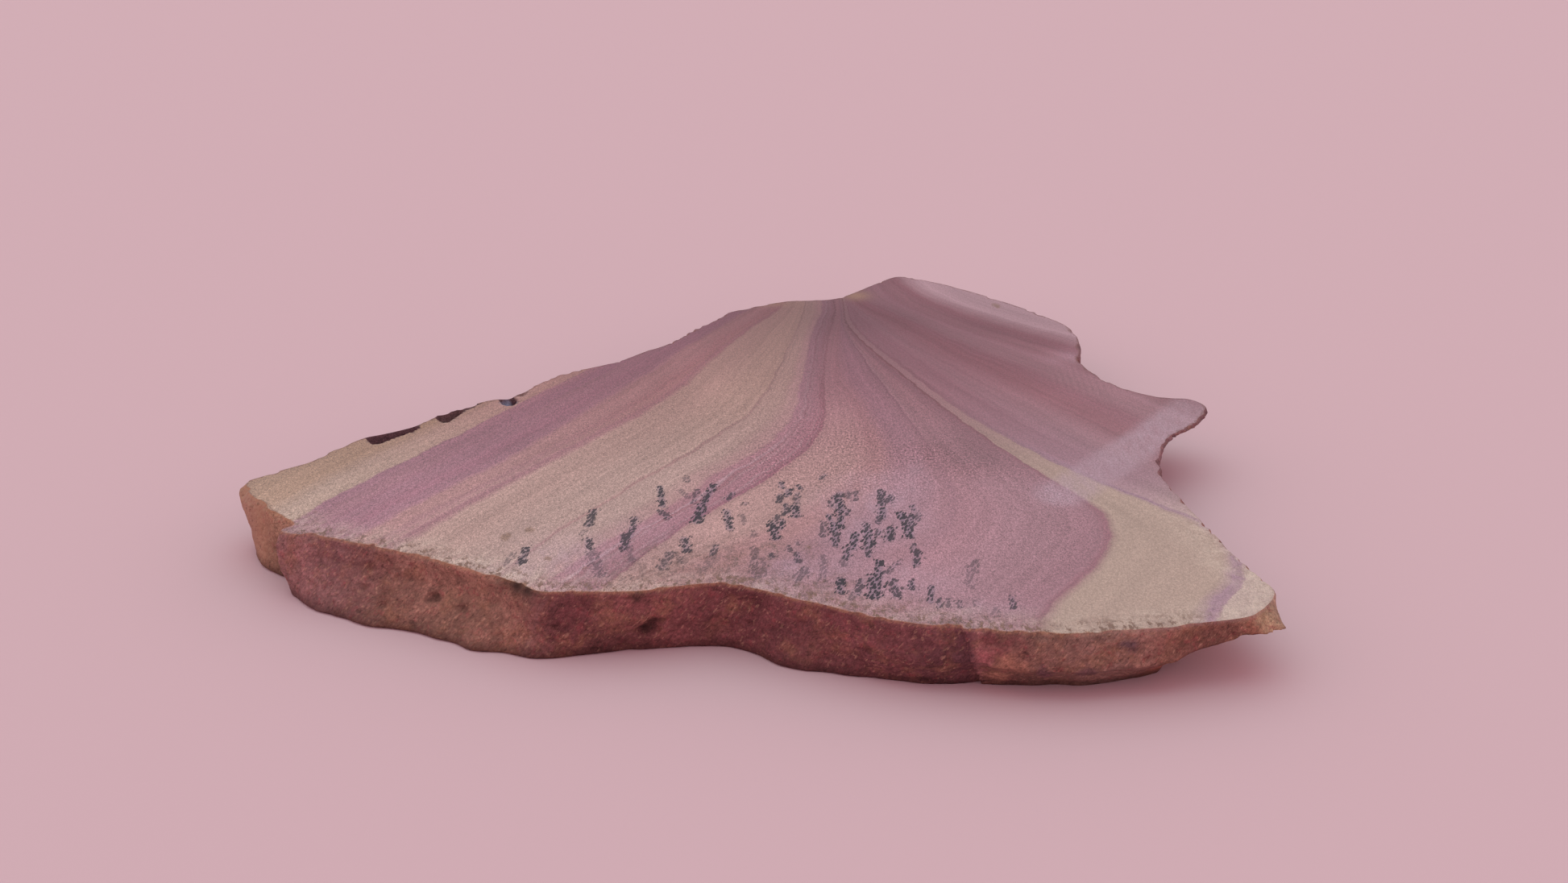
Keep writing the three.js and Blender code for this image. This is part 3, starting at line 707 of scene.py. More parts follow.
TONES = [
    (9, 1, 4, 7, 0.8), (-4, 13, 5, 9, 1.0), (-9, 25, 3, 7, 0.8), (-1, -37, 4, 4, 0.95),
    (20, -22, 2.5, 5, 0.6), (46, 25, 3.5, 3.5, 1.5), (27, -12, 6, 8, -1.2),
    (12.5, 40, 6, 9, -1.2), (58, 5, 4, 4, -0.6), (-30, -10, 8, 5, -0.4),
    (-9, -47, 5, 3.5, -0.8), (22, 40, 5, 5, -0.5), (30, -15, 3, 3, -0.6),
    (-42, -22, 4, 4, 0.4), (-50, -15, 4, 6, -0.4),
    (-57, -28, 3, 3, 0.4), (12.5, 2, 2.5, 4, 0.5), (-8, -22, 3, 4, 0.5), (43, 8, 4, 4, 0.5),
    (36, 38, 5, 6, -0.6), (26, 55, 5, 4, 0.4), (56, -56, 4, 4, 0.3), (-2, 27, 3, 7, 0.3),
]
TAN_PATCHES = [(16.3, 52.4, 2.0, 2.2, 0.9), (3.0, 48.4, 3.0, 1.4, 0.6)]


def patches(points, table, gather=np.maximum):
    total = np.zeros(len(points))
    for x, y, wide, tall, strong in table:
        reach = ((points[:, 0] - x) / wide) ** 2 + ((points[:, 1] - y) / tall) ** 2
        total = gather(total, strong * np.exp(-reach))
    return total


print("patches:", len(HAZE + STAINS + HALO + SPARKLE + TONES + TAN_PATCHES))

# %% [markdown]
# One pale band crosses the layers on the right, from the horn towards the lobe. It is a line
# through four points with a soft edge, faint at the horn, full after the first stretch and a
# little weaker again towards its end.

# %% The pale band
GHOST = [(62, 7), (52.3, -7.4), (46, -15.9), (39, -25.5)]
GHOST_HALF, GHOST_EDGE = 4.0, 1.6
GHOST_START, GHOST_RISE, GHOST_PEAK, GHOST_FALL = 0.45, 0.75, 1.2, 0.2


def ghost_band(points):
    nearest, along = np.full(len(points), 99.0), np.zeros(len(points))
    for k, (a, b) in enumerate(zip(GHOST[:-1], GHOST[1:])):
        away, t = from_stroke(points, a, b)
        along = np.where(away < nearest, k + t, along)
        nearest = np.minimum(nearest, away)
    rising, falling = GHOST_START + GHOST_RISE * along, GHOST_PEAK - GHOST_FALL * along
    strength = np.minimum(np.minimum(rising, falling), 1)
    return np.clip((GHOST_HALF - nearest) / GHOST_EDGE, 0, 1) * strength


print("the pale band bends", len(GHOST) - 2, "times")

# %% [markdown]
# With all points in place, the pockets are sunk into the upper face and every number is worked
# out for every point.

# %% Numbers for the material
DIP, SLOPE_STEP, SLOPE_LIMITS = 0.35, 0.5, (0.1, 1.5)
DARK_DOWN_TO = 0.5  # pockets darken the stone this far below the upper face
LIP_SLOPE, LIP_LEVEL = 0.3, 0.3  # mm over which a pocket's lip falls, and its level share
FLOOR_LUMPS, FLOOR_ROUGH = 0.6, 0.5
LINED_FROM = 0.15  # share of the bank above which there are no crystals

share, deep, dark = pocket_share(spots[:, :2])
dark[spots[:, 2] < THICKNESS - DARK_DOWN_TO] = 0
sink = deep[first_face:first_under] * smoothstep(share[first_face:first_under], 0, 1)
sink = sink * np.clip(ring_distance(face_points, top_ring) / LIP_SLOPE - LIP_LEVEL, 0, 1)
floor = np.array([noise.noise(Vector(spot) / FLOOR_LUMPS)
                  for spot in spots[first_face:first_under]])
spots[first_face:first_under, 2] -= sink * (1 + FLOOR_ROUGH * floor)

flow = flow_at(spots[:, 0] + DIP * (THICKNESS - spots[:, 2]), spots[:, 1])
rim_gap = np.zeros(len(spots))
rim_gap[first_face:first_under] = ring_distance(face_points, top_ring)
rim_gap[first_under:] = ring_distance(under_points, foot_ring)
flow_slope = flow_at(spots[:, 0] + SLOPE_STEP, spots[:, 1]) - flow_at(spots[:, 0], spots[:, 1])
thread, thread_strong = thread_depth(spots[:, :2])
stored = {
    "flow": flow,
    "rim_gap": rim_gap,
    "flow_slope": np.clip(flow_slope / SLOPE_STEP, *SLOPE_LIMITS),
    "thread": thread,
    "thread_strong": thread_strong,
    "haze": patches(spots[:, :2], HAZE),
    "stain": patches(spots[:, :2], STAINS),
    "halo": patches(spots[:, :2], HALO),
    "sparkle": patches(spots[:, :2], SPARKLE),
    "tan": patches(spots[:, :2], TAN_PATCHES),
    "tone": patches(spots[:, :2], TONES, np.add),
    "ghost": ghost_band(spots[:, :2]),
    "lining": dark * smoothstep(share, 0, LINED_FROM),
    "pit": np.concatenate([pit, np.zeros(len(spots) - len(pit))]),
}
print("flow runs from", round(float(flow.min()), 1), "to", round(float(flow.max()), 1))

# %% [markdown]
# Weather coats the broken rim unevenly: brick red along the front, tan and mauve towards the
# left, orange brown by the right corner. A few tints at chosen stations of the rim, numbered
# from 0 at the left corner, are blended along it and stored as a colour.

# %% Tints of the weathered rim
RIM_TINTS = [
    (0, "a57a64"), (3, "986e62"), (14, "8d6560"), (20, "7e585a"), (26, "855c5e"),
    (31, "926c73"), (37, "8b5e63"), (42, "80525a"), (47, "94666c"), (51, "b4876f"),
    (52.6, "cba48d"), (53.6, "c49a7a"), (54.4, "865443"), (56.5, "9d6459"), (58, "a3766d"),
    (59.0, "8b5f56"), (59.8, "8a5b52"), (60.6, "9c6560"), (61.1, "a86b69"), (61.25, "744246"),
    (62.5, "804748"), (66, "824546"), (68, "864849"), (70, "884b4b"), (71.6, "7b4343"),
    (72.4, "8d5c54"), (73.2, "a06c5e"), (75, "a97566"), (76.5, "9a665d"), (77.6, "9e6a69"),
    (79.0, "a97672"), (79.4, "b07f69"), (82, "ac7e68"), (83, "ad8271"), (84, "a57a64"),
]


def to_linear(hex_colour):
    """sRGB hex to the linear red, green, blue and alpha that Blender's shaders want."""
    channels = [int(hex_colour[i:i + 2], 16) / 255 for i in (0, 2, 4)]
    linear = [c / 12.92 if c <= 0.04045 else ((c + 0.055) / 1.055) ** 2.4 for c in channels]
    return (*linear, 1.0)


tint_at, tint_rgb = zip(*[(place, to_linear(tint)[:3]) for place, tint in RIM_TINTS])
rim_tint = np.ones((len(spots), 4))
for channel in range(3):
    levels = np.interp(station + part, tint_at, [tint[channel] for tint in tint_rgb])
    rim_tint[:first_face, channel] = np.repeat(levels, row_count)
print("rim tints:", len(RIM_TINTS))

# %% [markdown]
# ## The mesh
# All points and faces become one closed mesh. It is moved so that its middle is the CAD
# box's middle, and anything that grit pushed past the box is brought back to it.

# %% Build the slab's mesh
box_low, box_high = (np.array(corner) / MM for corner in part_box(CAD_NODE))
middle = (spots.min(axis=0) + spots.max(axis=0)) / 2
shift = (box_low + box_high) / 2 - middle
shift[2] = 0
placed = np.clip(spots + shift, box_low, box_high)
mesh = bpy.data.meshes.new("banded_slab")
mesh.from_pydata([tuple(spot) for spot in placed * MM], [], faces)
mesh.update()
for name, values in stored.items():
    layer = mesh.attributes.new(name, "FLOAT", "POINT")
    layer.data.foreach_set("value", np.asarray(values, dtype=np.float32))
tint_layer = mesh.attributes.new("rim_tint", "FLOAT_COLOR", "POINT")
tint_layer.data.foreach_set("color", rim_tint.astype(np.float32).ravel())
mesh.polygons.foreach_set("material_index", kinds)
mesh.polygons.foreach_set("use_smooth", [True] * len(faces))
ring_edges = {(k * row_count + row, (k + 1) % columns * row_count + row)
              for k in range(columns) for row in (0, row_count - 1)}
ring_edges |= {(b, a) for a, b in ring_edges}
sharp = mesh.attributes.new("sharp_edge", "BOOLEAN", "EDGE")
sharp.data.foreach_set("value", [tuple(e.vertices) in ring_edges for e in mesh.edges])
slab = bpy.data.objects.new("banded_slab", mesh)
bpy.context.collection.objects.link(slab)
triangles = sum(len(p.vertices) - 2 for p in mesh.polygons)
print("slab mesh:", len(mesh.vertices), "points,", triangles, "triangles, shift mm", shift.round(3))

# %% [markdown]
# ## Materials
# The slab is one stone with three surfaces: lapped above, broken at the rim, and straight off
# the saw below. An image could carry the pattern, but curves and noise stay crisp from close
# by and run on through the stone, so the whole look is made of nodes. One small function adds
# any node. It feeds the open inputs in order, and whatever is given by name goes to the input
# or the option of that name.

# %% One function for every node


def node(tree, kind, *feeds, out=None, stops=(), **named):
    """Adds a node with its settings and links, and returns one of its outputs."""
    made = tree.nodes.new("ShaderNode" + kind)
    for option in [name for name in named if name not in made.inputs]:
        setattr(made, option, named.pop(option))
    for k, (place, colour) in enumerate(stops):
        ramp = made.color_ramp.elements
        stop = ramp[k] if k < 2 else ramp.new(place)
        stop.position, stop.color = place, colour
    pairs = list(zip([socket for socket in made.inputs if socket.enabled], feeds))
    for socket, value in pairs + [(made.inputs[name], named[name]) for name in named]:
        if isinstance(value, bpy.types.NodeSocket):
            tree.links.new(value, socket)
        else:
            socket.default_value = value
    return made.outputs[out] if out else next(o for o in made.outputs if o.enabled)


SMOOTH = {"interpolation_type": "SMOOTHSTEP"}
print("smooth steps use:", SMOOTH)

# %% [markdown]
# ### A dry stone, and what is done to its colour
# Any dry rock is a rough mineral surface with an IOR near 1.5 and hardly any shine. Stains
# and shades are laid over its colour one after another, the way weather did it, so two small
# functions do that. A third gives clouds of noise, whose size is a real one in millimetres.

# %% Stone, stains, shades and clouds
STONE_IOR, DULL_SHINE = 1.5, 0.2


def new_stone(name):
    """A stone material on the slab: its tree, the place in mm, and the mesh's numbers."""
    material = bpy.data.materials.new(name)
    material.use_nodes = True
    mesh.materials.append(material)
    tree = material.node_tree
    shader = tree.nodes["Principled BSDF"]
    shader.inputs["IOR"].default_value = STONE_IOR
    shader.inputs["Specular IOR Level"].default_value = DULL_SHINE
    metres = node(tree, "TexCoord", out="Object")
    place = node(tree, "VectorMath", metres, (1 / MM,) * 3, operation="MULTIPLY")
    read = {key: node(tree, "Attribute", attribute_name=key, out="Fac") for key in stored}
    return tree, place, read


def stained(tree, colour, tint, *shares, way="MIX"):
    """Takes a colour towards a tint by the product of all the shares."""
    share = shares[0]
    for other in shares[1:]:
        share = node(tree, "Math", share, other, operation="MULTIPLY")
    tint = to_linear(tint) if isinstance(tint, str) else tint
    return node(tree, "Mix", share, colour, tint, data_type="RGBA", blend_type=way)


def shade(tree, colour, *levels):
    """Multiplies a colour by grey levels that may come from other nodes."""
    for level in levels:
        grey = node(tree, "CombineColor", level, level, level)
        colour = stained(tree, colour, grey, 1.0, way="MULTIPLY")
    return colour


def clouds(tree, place, size, detail, rough, levels=(), stretch=None):
    """Noise with clouds of a size in mm. Levels are the old limits and then the new ones."""
    if stretch:
        place = node(tree, "VectorMath", place, stretch, operation="MULTIPLY")
    value = node(tree, "TexNoise", place, 1 / size, detail, rough)
    return node(tree, "MapRange", value, *levels) if levels else value


def near_to(tree, place, centre, far, near):
    """1 within a distance of a point, fading to 0 at a farther one."""
    reach = node(tree, "VectorMath", place, centre, operation="DISTANCE")
    return node(tree, "MapRange", reach, far, near, **SMOOTH)


def finish_stone(tree, colour, relief, relief_mm, strength, roughness):
    shader = tree.nodes["Principled BSDF"]
    bump = node(tree, "Bump", Height=relief, Distance=relief_mm * MM, Strength=strength)
    tree.links.new(colour, shader.inputs["Base Color"])
    tree.links.new(bump, shader.inputs["Normal"])
    if isinstance(roughness, bpy.types.NodeSocket):
        tree.links.new(roughness, shader.inputs["Roughness"])
    else:
        shader.inputs["Roughness"].default_value = roughness
    print(mesh.materials[-1].name, "has", len(tree.nodes), "nodes")


print("a dry stone has an IOR of", STONE_IOR)

# %% [markdown]
# ### Layers of the lava
# Rhyolite is mostly fine quartz and feldspar, stained by iron: cream where little of it is
# left, mauve and plum where haematite dust is fine and dense. The colours are those of the
# sawn face, dry. Each entry gives the flow value where a layer begins, how many units of flow
# its boundary takes, and its colour at the front and at the back of the slab.

# %% Colours over flow
FIRST_LAYER = ("a98a79", "8f6a59")
LAYERS = [
    (-48.4, 3.0, "b09589", "9f7470"), (-43.2, 0.5, "9b707d", "8e5f6a"),
    (-41.4, 1.6, "a27681", "8a5c6a"), (-38.6, 0.5, "9b6e7b", "875c66"),
    (-37.8, 0.8, "a07481", "8b5e6a"), (-35.2, 1.6, "9f707e", "8c5d6a"),
    (-33.0, 0.6, "a07481", "8e606c"), (-30.6, 1.2, "a98080", "976a6d"),
    (-28.3, 0.8, "a77d81", "956569"), (-27.3, 0.5, "ae8686", "97686a"),
    (-26.5, 0.5, "a2767d", "916268"), (-25.2, 1.2, "b2918a", "9a7771"),
    (-17.0, 5.0, "b0928b", "9f7d75"), (-9.2, 0.4, "a27c7b", "906d6b"),
    (-8.6, 0.4, "b0928c", "9d7b76"), (-3.6, 2.4, "ad8987", "9d7677"),
    (-0.9, 0.9, "a0737c", "926772"), (0.8, 0.4, "ad8992", "966e78"),
    (1.2, 0.3, "94666f", "895d68"), (1.9, 0.3, "a78088", "8f6770"),
    (2.25, 0.3, "9d707b", "8d616c"), (3.5, 0.6, "996b76", "885b65"),
    (4.1, 0.2, "a37d86", "8d636c"), (4.35, 0.2, "956572", "7f505b"),
    (4.9, 0.2, "a17982", "8b5f69"), (5.15, 0.2, "92606e", "82535d"),
    (5.8, 0.5, "ad8885", "91636c"), (14.6, 3.0, "a77c7e", "92636c"),
    (18.5, 3.0, "9f7782", "8b5f6b"), (23.8, 1.4, "a47983", "875d68"),
    (25.0, 0.6, "9f7580", "7e5460"), (25.7, 0.6, "a37882", "90666f"),
    (27.8, 2.4, "9f7781", "8c6069"), (32.4, 2.0, "976f79", "835862"),
    (35.0, 0.8, "8f646e", "74474f"), (35.95, 0.4, "ab9287", "92686f"),
    (40.1, 0.5, "9a7a88", "845762"), (41.0, 0.6, "9d7985", "8b5e69"),
    (43.0, 0.8, "9a7682", "885b66"), (44.4, 0.8, "9c7883", "8b606a"),
    (46.4, 1.0, "9c7881", "8a5d67"), (49.2, 3.4, "996c75", "87555f"),
    (53.5, 2.0, "996d77", "895863"), (56.0, 2.0, "99747d", "926770"),
    (58.6, 0.6, "a27e87", "946872"), (59.6, 0.6, "98727b", "8d6069"),
    (62.0, 2.6, "906570", "7e4f5a"), (66.8, 4.6, "b3949c", "a4818a"),
]
RAMP_SIZE = 15  # layers to a colour ramp, which holds 32 stops at most


def ramp_stops(layers, before, which, low, high):
    stops, colour = [], before
    for place, soft, *tones in layers:
        stops.append(((place - soft / 2 - low) / (high - low), colour))
        colour = to_linear(tones[which])
        stops.append(((place + soft / 2 - low) / (high - low), colour))
    return stops, colour


def layer_colour(tree, flow_value, which):
    """Colour over flow. Each ramp of fifteen layers takes over from the last one."""
    mixed, before = None, to_linear(FIRST_LAYER[which])
    for first in range(0, len(LAYERS), RAMP_SIZE):
        layers = LAYERS[first:first + RAMP_SIZE]
        low, high = layers[0][0] - layers[0][1], layers[-1][0] + layers[-1][1]
        stops, before = ramp_stops(layers, before, which, low, high)
        along = node(tree, "MapRange", flow_value, low, high)
        ramp = node(tree, "ValToRGB", along, stops=stops)
        over = node(tree, "Math", flow_value, low, operation="GREATER_THAN")
        mixed = ramp if mixed is None else stained(tree, mixed, ramp, over)
    return mixed


print("layers:", len(LAYERS) + 1)

# %% [markdown]
# ### The layered stone itself
# The same layers run through the whole slab, so all three surfaces share them. The stored
# flow is made slightly wavy first, over 4 mm, 0.9 mm and along the layers. The front colours
# pass into the back ones between y = -28 and y = 16 mm. Thin laminae follow the flow, and are
# fainter where the layers are wide.

# %% Layered stone
WAVE, CRINKLE, FEATHER = 0.8, 0.2, 0.65  # how far the flow wanders, in mm across the layers
LAMINA_PULL = 0.03  # share of y that counts, so that laminae run far along it
BACK_FROM, BACK_AT = -28, (16, 26)  # y where the back colours begin and have taken over


def banded_stone(tree, place, read):
    """Colour of the layers, the wavy flow value, and x, y and z in millimetres."""
    sides = node(tree, "SeparateXYZ", place).node.outputs
    slope = read["flow_slope"]
    wave = clouds(tree, place, 4.0, 3.0, 0.55, (0, 1, -WAVE, WAVE))
    crinkle = clouds(tree, place, 0.9, 2.0, 0.5, (0, 1, -CRINKLE, CRINKLE))
    wander = node(tree, "Math", wave, crinkle, operation="ADD")
    flow_value = node(tree, "Math", wander, slope, read["flow"], operation="MULTIPLY_ADD")
    pulled = node(tree, "Math", sides["Y"], LAMINA_PULL, operation="MULTIPLY")
    across = node(tree, "CombineXYZ", flow_value, pulled, 0.0)
    feather = clouds(tree, across, 0.6, 2.0, 0.6, (0, 1, -FEATHER, FEATHER))
    flow_value = node(tree, "Math", feather, slope, flow_value, operation="MULTIPLY_ADD")
    all_back = node(tree, "MapRange", flow_value, 40, 48, *BACK_AT)
    rearward = node(tree, "MapRange", sides["Y"], BACK_FROM, all_back, **SMOOTH)
    colour = stained(tree, layer_colour(tree, flow_value, 0),
                     layer_colour(tree, flow_value, 1), rearward)
    broad = clouds(tree, across, 2.6, 2.0, 0.5, (0.3, 0.7, -0.085, 0.085))
    thin = clouds(tree, across, 0.55, 2.0, 0.6, (0.3, 0.7, -0.09, 0.09))
    laminae = node(tree, "Math", broad, thin, operation="ADD")
    fineness = node(tree, "MapRange", slope, 0.2, 0.5, 0.25, 1.0)
    laminae = node(tree, "Math", laminae, fineness, 1.0, operation="MULTIPLY_ADD")
    return shade(tree, colour, laminae), flow_value, sides


print("flow wanders up to", WAVE + CRINKLE + FEATHER, "mm")

# %% [markdown]
# ### Upper face: lapped rhyolite
# Sawn, then lapped with grit and left dry: satin, with a sandy sparkle where the quartz
# grains are coarser. The layers pale a little towards the front, darken to plum where they
# converge, are bleached lilac round the dendrites, turn pale lilac in one band that crosses
# them, and pale again into the right corner. Each is a soft patch stored on the mesh, broken up
# by streaks that are drawn out along y, the way the lava was pulled.

# %% Lapped face: layers and bleaching
DRAWN_OUT = (1.0, 0.5, 1.0)
PLUM_STAIN = "dcd2d9"
TONE_STRENGTH = 0.17

tree, place, read = new_stone("lapped_rhyolite")
colour, flow_value, sides = banded_stone(tree, place, read)
streaks = clouds(tree, place, 1.6, 3.0, 0.6, stretch=(1.5, 0.4, 1))
towards_front = node(tree, "MapRange", sides["Y"], -22, -58, 0.96, 1.02, **SMOOTH)
tone = node(tree, "Math", read["tone"], TONE_STRENGTH, 1.0, operation="MULTIPLY_ADD")
colour = shade(tree, colour, towards_front, tone)
colour = stained(tree, colour, PLUM_STAIN, node(tree, "MapRange", sides["Y"], 10, 46),
                 node(tree, "MapRange", flow_value, 60, 64, 1, 0), way="MULTIPLY")
colour = stained(tree, colour, "b69e97", node(tree, "MapRange", flow_value, 40.85, 41.1),
                 node(tree, "MapRange", sides["Y"], -16, -42, **SMOOTH))
colour = stained(tree, colour, "b194a3", read["halo"],
                 node(tree, "MapRange", streaks, 0.3, 0.7, 0.2, 0.7))
colour = stained(tree, colour, "ab8f9b", read["ghost"],
                 node(tree, "MapRange", streaks, 0.3, 0.7, 0.4, 0.85))
colour = stained(tree, colour, "93705f", read["tan"])
print("bleached patches:", len(HALO), "and tone patches:", len(TONES))

# %% [markdown]
# Where the stone is sandier, its quartz grains are coarser and redder. Real grains are a
# tenth of a millimetre or less, and here they are drawn about twice as coarse so that they
# show at all.

# %% Lapped face: coarser grains
FLECK_SIZE = 0.25

drawn = node(tree, "VectorMath", place, DRAWN_OUT, operation="MULTIPLY")
colour = stained(tree, colour, "9c5f66", read["sparkle"], 0.12)
flecks = clouds(tree, drawn, FLECK_SIZE, 1.0, 0.5, (0.2, 0.8, -0.5, 0.5))
sandy = node(tree, "MapRange", read["sparkle"], 0, 1, 0.24, 1.45)
flecks = node(tree, "Math", flecks, sandy, 1.0, operation="MULTIPLY_ADD")
colour = shade(tree, colour, flecks)
print("fleck size mm:", FLECK_SIZE)

# %% [markdown]
# Just inside the broken front edge a border a few millimetres wide is paler. The weather
# left brown haze and iron stains on it, and crumbs broke out of it. The border follows the
# stored distance from the rim, and two noises make it ragged: a mottle of about a
# millimetre, and wisps that follow the layers.

# %% Lapped face: the weathered border
BORDER, CRUMBLED = (6.5, 0.6), (4.2, 0.8)  # gap from the rim where each begins and is full

gap = read["rim_gap"]
mottle = clouds(tree, place, 1.1, 4.0, 0.65, stretch=(1.6, 0.55, 1))
along = node(tree, "Math", sides["Y"], 0.4, operation="MULTIPLY")
along = node(tree, "CombineXYZ", flow_value, along, 0.0)
wisps = clouds(tree, along, 1.3, 5.0, 0.7)
front = node(tree, "MapRange", sides["Y"], -24, -38, **SMOOTH)
clear = node(tree, "Math", read["haze"], -0.7, 1.0, operation="MULTIPLY_ADD")
colour = stained(tree, colour, "cbb5a8", node(tree, "MapRange", gap, *BORDER, **SMOOTH),
                 front, node(tree, "MapRange", wisps, 0.4, 0.64, 0.05, 0.62), clear)
rubbed = clouds(tree, place, 0.45, 3.0, 0.7, (0.38, 0.62, 0.55, 1.5), stretch=(1.5, 0.7, 1))
dusty = stained(tree, to_linear("8a6058"), "6f5754", node(tree, "MapRange", mottle, 0.4, 0.6))
colour = stained(tree, colour, dusty, read["haze"], node(tree, "MapRange", wisps, 0.64, 0.4),
                 node(tree, "MapRange", mottle, 0.38, 0.58, 0.25, 1.15), rubbed)
ragged = node(tree, "MapRange", mottle, 0, 1, -0.5, 0.5)
iron = node(tree, "Math", read["stain"], ragged, operation="ADD")
colour = stained(tree, colour, "7a5c48", node(tree, "MapRange", iron, 0.35, 0.6),
                 node(tree, "MapRange", gap, 1, 2, 0.0, 0.6))
crumbs = clouds(tree, place, 0.75, 4.0, 0.7, (0.52, 0.58), stretch=(1.1, 0.5, 1))
colour = stained(tree, colour, "75584c", crumbs,
                 node(tree, "MapRange", gap, *CRUMBLED, **SMOOTH), front,
                 node(tree, "MapRange", sides["X"], 46, 52, 0.9, 0.2))
print("haze patches:", len(HAZE), "iron stains:", len(STAINS))

# %% [markdown]
# Dendrites are specks of slate-black manganese oxide. Voronoi cells, slanted like the
# threads and bent a little, sow one speck to a cell. A cell is inked where its own random
# number is below the depth in the thread, so a thread is dense in its middle and frays out.

# %% Lapped face: dendrites
SPECK_CELL, SPECK_LEAN, SPECK_LENGTH = 0.34, 0.3, 0.36
SPECK_SIZE = (0.33, 0.68)  # radius of the smallest and the largest speck, in cells
BEND_SCALE, BEND = 1.6, 0.35

leant = node(tree, "Math", sides["Y"], -SPECK_LEAN, sides["X"], operation="MULTIPLY_ADD")
drawn_y = node(tree, "Math", sides["Y"], SPECK_LENGTH, operation="MULTIPLY")
sown = node(tree, "CombineXYZ", leant, drawn_y, 0.0)
bent = node(tree, "TexNoise", sown, BEND_SCALE, out="Color")
sown = node(tree, "VectorMath", bent, (BEND,) * 3, sown, operation="MULTIPLY_ADD")
cells = node(tree, "TexVoronoi", sown, 1 / SPECK_CELL, voronoi_dimensions="2D").node.outputs
draw = node(tree, "SeparateColor", cells["Color"]).node.outputs
size = node(tree, "MapRange", draw["Green"], 0, 1, *SPECK_SIZE)
ink = node(tree, "Math", size, cells["Distance"], operation="SUBTRACT")
ink = node(tree, "MapRange", ink, -0.06, 0.1, **SMOOTH)
depth, strong = read["thread"], read["thread_strong"]
smear = node(tree, "MapRange", depth, 0.15, 0.85, 0.0, 0.44, **SMOOTH)
colour = stained(tree, colour, "615b72", smear, strong, strong)
taken = node(tree, "MapRange", depth, 0.02, 0.7)
taken = node(tree, "Math", taken, draw["Red"], operation="SUBTRACT")
taken = node(tree, "MapRange", taken, -0.05, 0.05)
colour = stained(tree, colour, "222029", ink, taken, strong, 0.94)
print("speck cells mm:", SPECK_CELL, "by", round(SPECK_CELL / SPECK_LENGTH, 2))

# %% [markdown]
# Iron also stains a thin line at the very edge, darker at the back and missing on the fresh
# right side. The pockets are lined with dark crystals, bluish in the third one.

# %% Lapped face: edge line and pockets
BLUE_CRYSTALS = (-32.3, 6.2, 7.0)

grain = clouds(tree, drawn, 0.26, 3.0, 0.75)
uneven = node(tree, "MapRange", mottle, 0.3, 0.7, -0.25, 0.25)
line = node(tree, "Math", gap, uneven, operation="ADD")
line = node(tree, "MapRange", line, 0.35, 0.05, 0.0, 0.5, **SMOOTH)
fresh_side = node(tree, "Math", node(tree, "MapRange", sides["X"], 38, 48, 0.0, 0.8),
                  node(tree, "MapRange", sides["Y"], -2, -10), operation="MULTIPLY")
old_side = node(tree, "Math", 1.0, fresh_side, operation="SUBTRACT")
edge_tint = stained(tree, to_linear("6b4038"), "9a6a50", front)
colour = stained(tree, colour, edge_tint, line, old_side)
crystals = near_to(tree, place, BLUE_CRYSTALS, 1.9, 1.1)
lining = stained(tree, to_linear("573a3f"), "9092a6", crystals)
lining = shade(tree, lining, node(tree, "MapRange", grain, 0.3, 0.7, 0.7, 1.35))
colour = stained(tree, colour, lining, read["lining"])
print("blue crystals at mm:", BLUE_CRYSTALS)

# %% [markdown]
# The saw left fine lines, which the lapping kept near the right edge only. Over everything
# lies the sandy grain of the lapped face, calmer on the right and at the back.

# %% Lapped face: saw lines, sand and finish
SAW_KEPT_AT, SAW_KEPT, SAW_ELSEWHERE = (48, 15, THICKNESS), 0.09, 0.012

saw = node(tree, "VectorMath", place, (1.0, -0.32, 0.0), operation="MULTIPLY")
saw = node(tree, "TexWave", saw, 0.35, 0.8, 2.0, 0.3, bands_direction="X", out="Fac")
saw = node(tree, "MapRange", saw, 0, 1, -0.5, 0.5)
kept = near_to(tree, place, SAW_KEPT_AT, 9, 3)
kept = node(tree, "Math", kept, SAW_KEPT, SAW_ELSEWHERE, operation="MULTIPLY_ADD")
saw = node(tree, "Math", saw, kept, 1.0, operation="MULTIPLY_ADD")
sand = clouds(tree, drawn, 0.12, 1.0, 0.5, (0.25, 0.75, -0.4, 0.4))
sand = node(tree, "Math", sand, node(tree, "MapRange", grain, 0.25, 0.75, -0.3, 0.3),
            operation="ADD")
plain = node(tree, "Math", node(tree, "MapRange", flow_value, 33, 36, 1.0, 0.5),
             node(tree, "MapRange", sides["Y"], 5, 40, 1.0, 0.5), operation="MULTIPLY")
sand = node(tree, "Math", sand, plain, 1.0, operation="MULTIPLY_ADD")
colour = shade(tree, colour, saw, sand)
satin = node(tree, "MapRange", grain, 0.3, 0.7, 0.5, 0.66)
finish_stone(tree, colour, grain, relief_mm=0.04, strength=0.5, roughness=satin)

# %% [markdown]
# ### Rim: broken and weathered
# Fractured, then left to weather: matt, granular and brown over the layers, with iron-red
# clouds and paler flecks. The tints stored along the rim give the colour, and only an eighth
# of the layers' own colour shows through. The grains are drawn half a millimetre wide, which
# is coarser than real ones, so that they show.

# %% Broken rim: tints, rust and flecks
GRAIN = 0.55
LAYERS_SEEN = 0.12
FLECK_LEAN, FLECK_HEIGHT = 0.7, 0.5  # flecks lean over and are drawn out in height

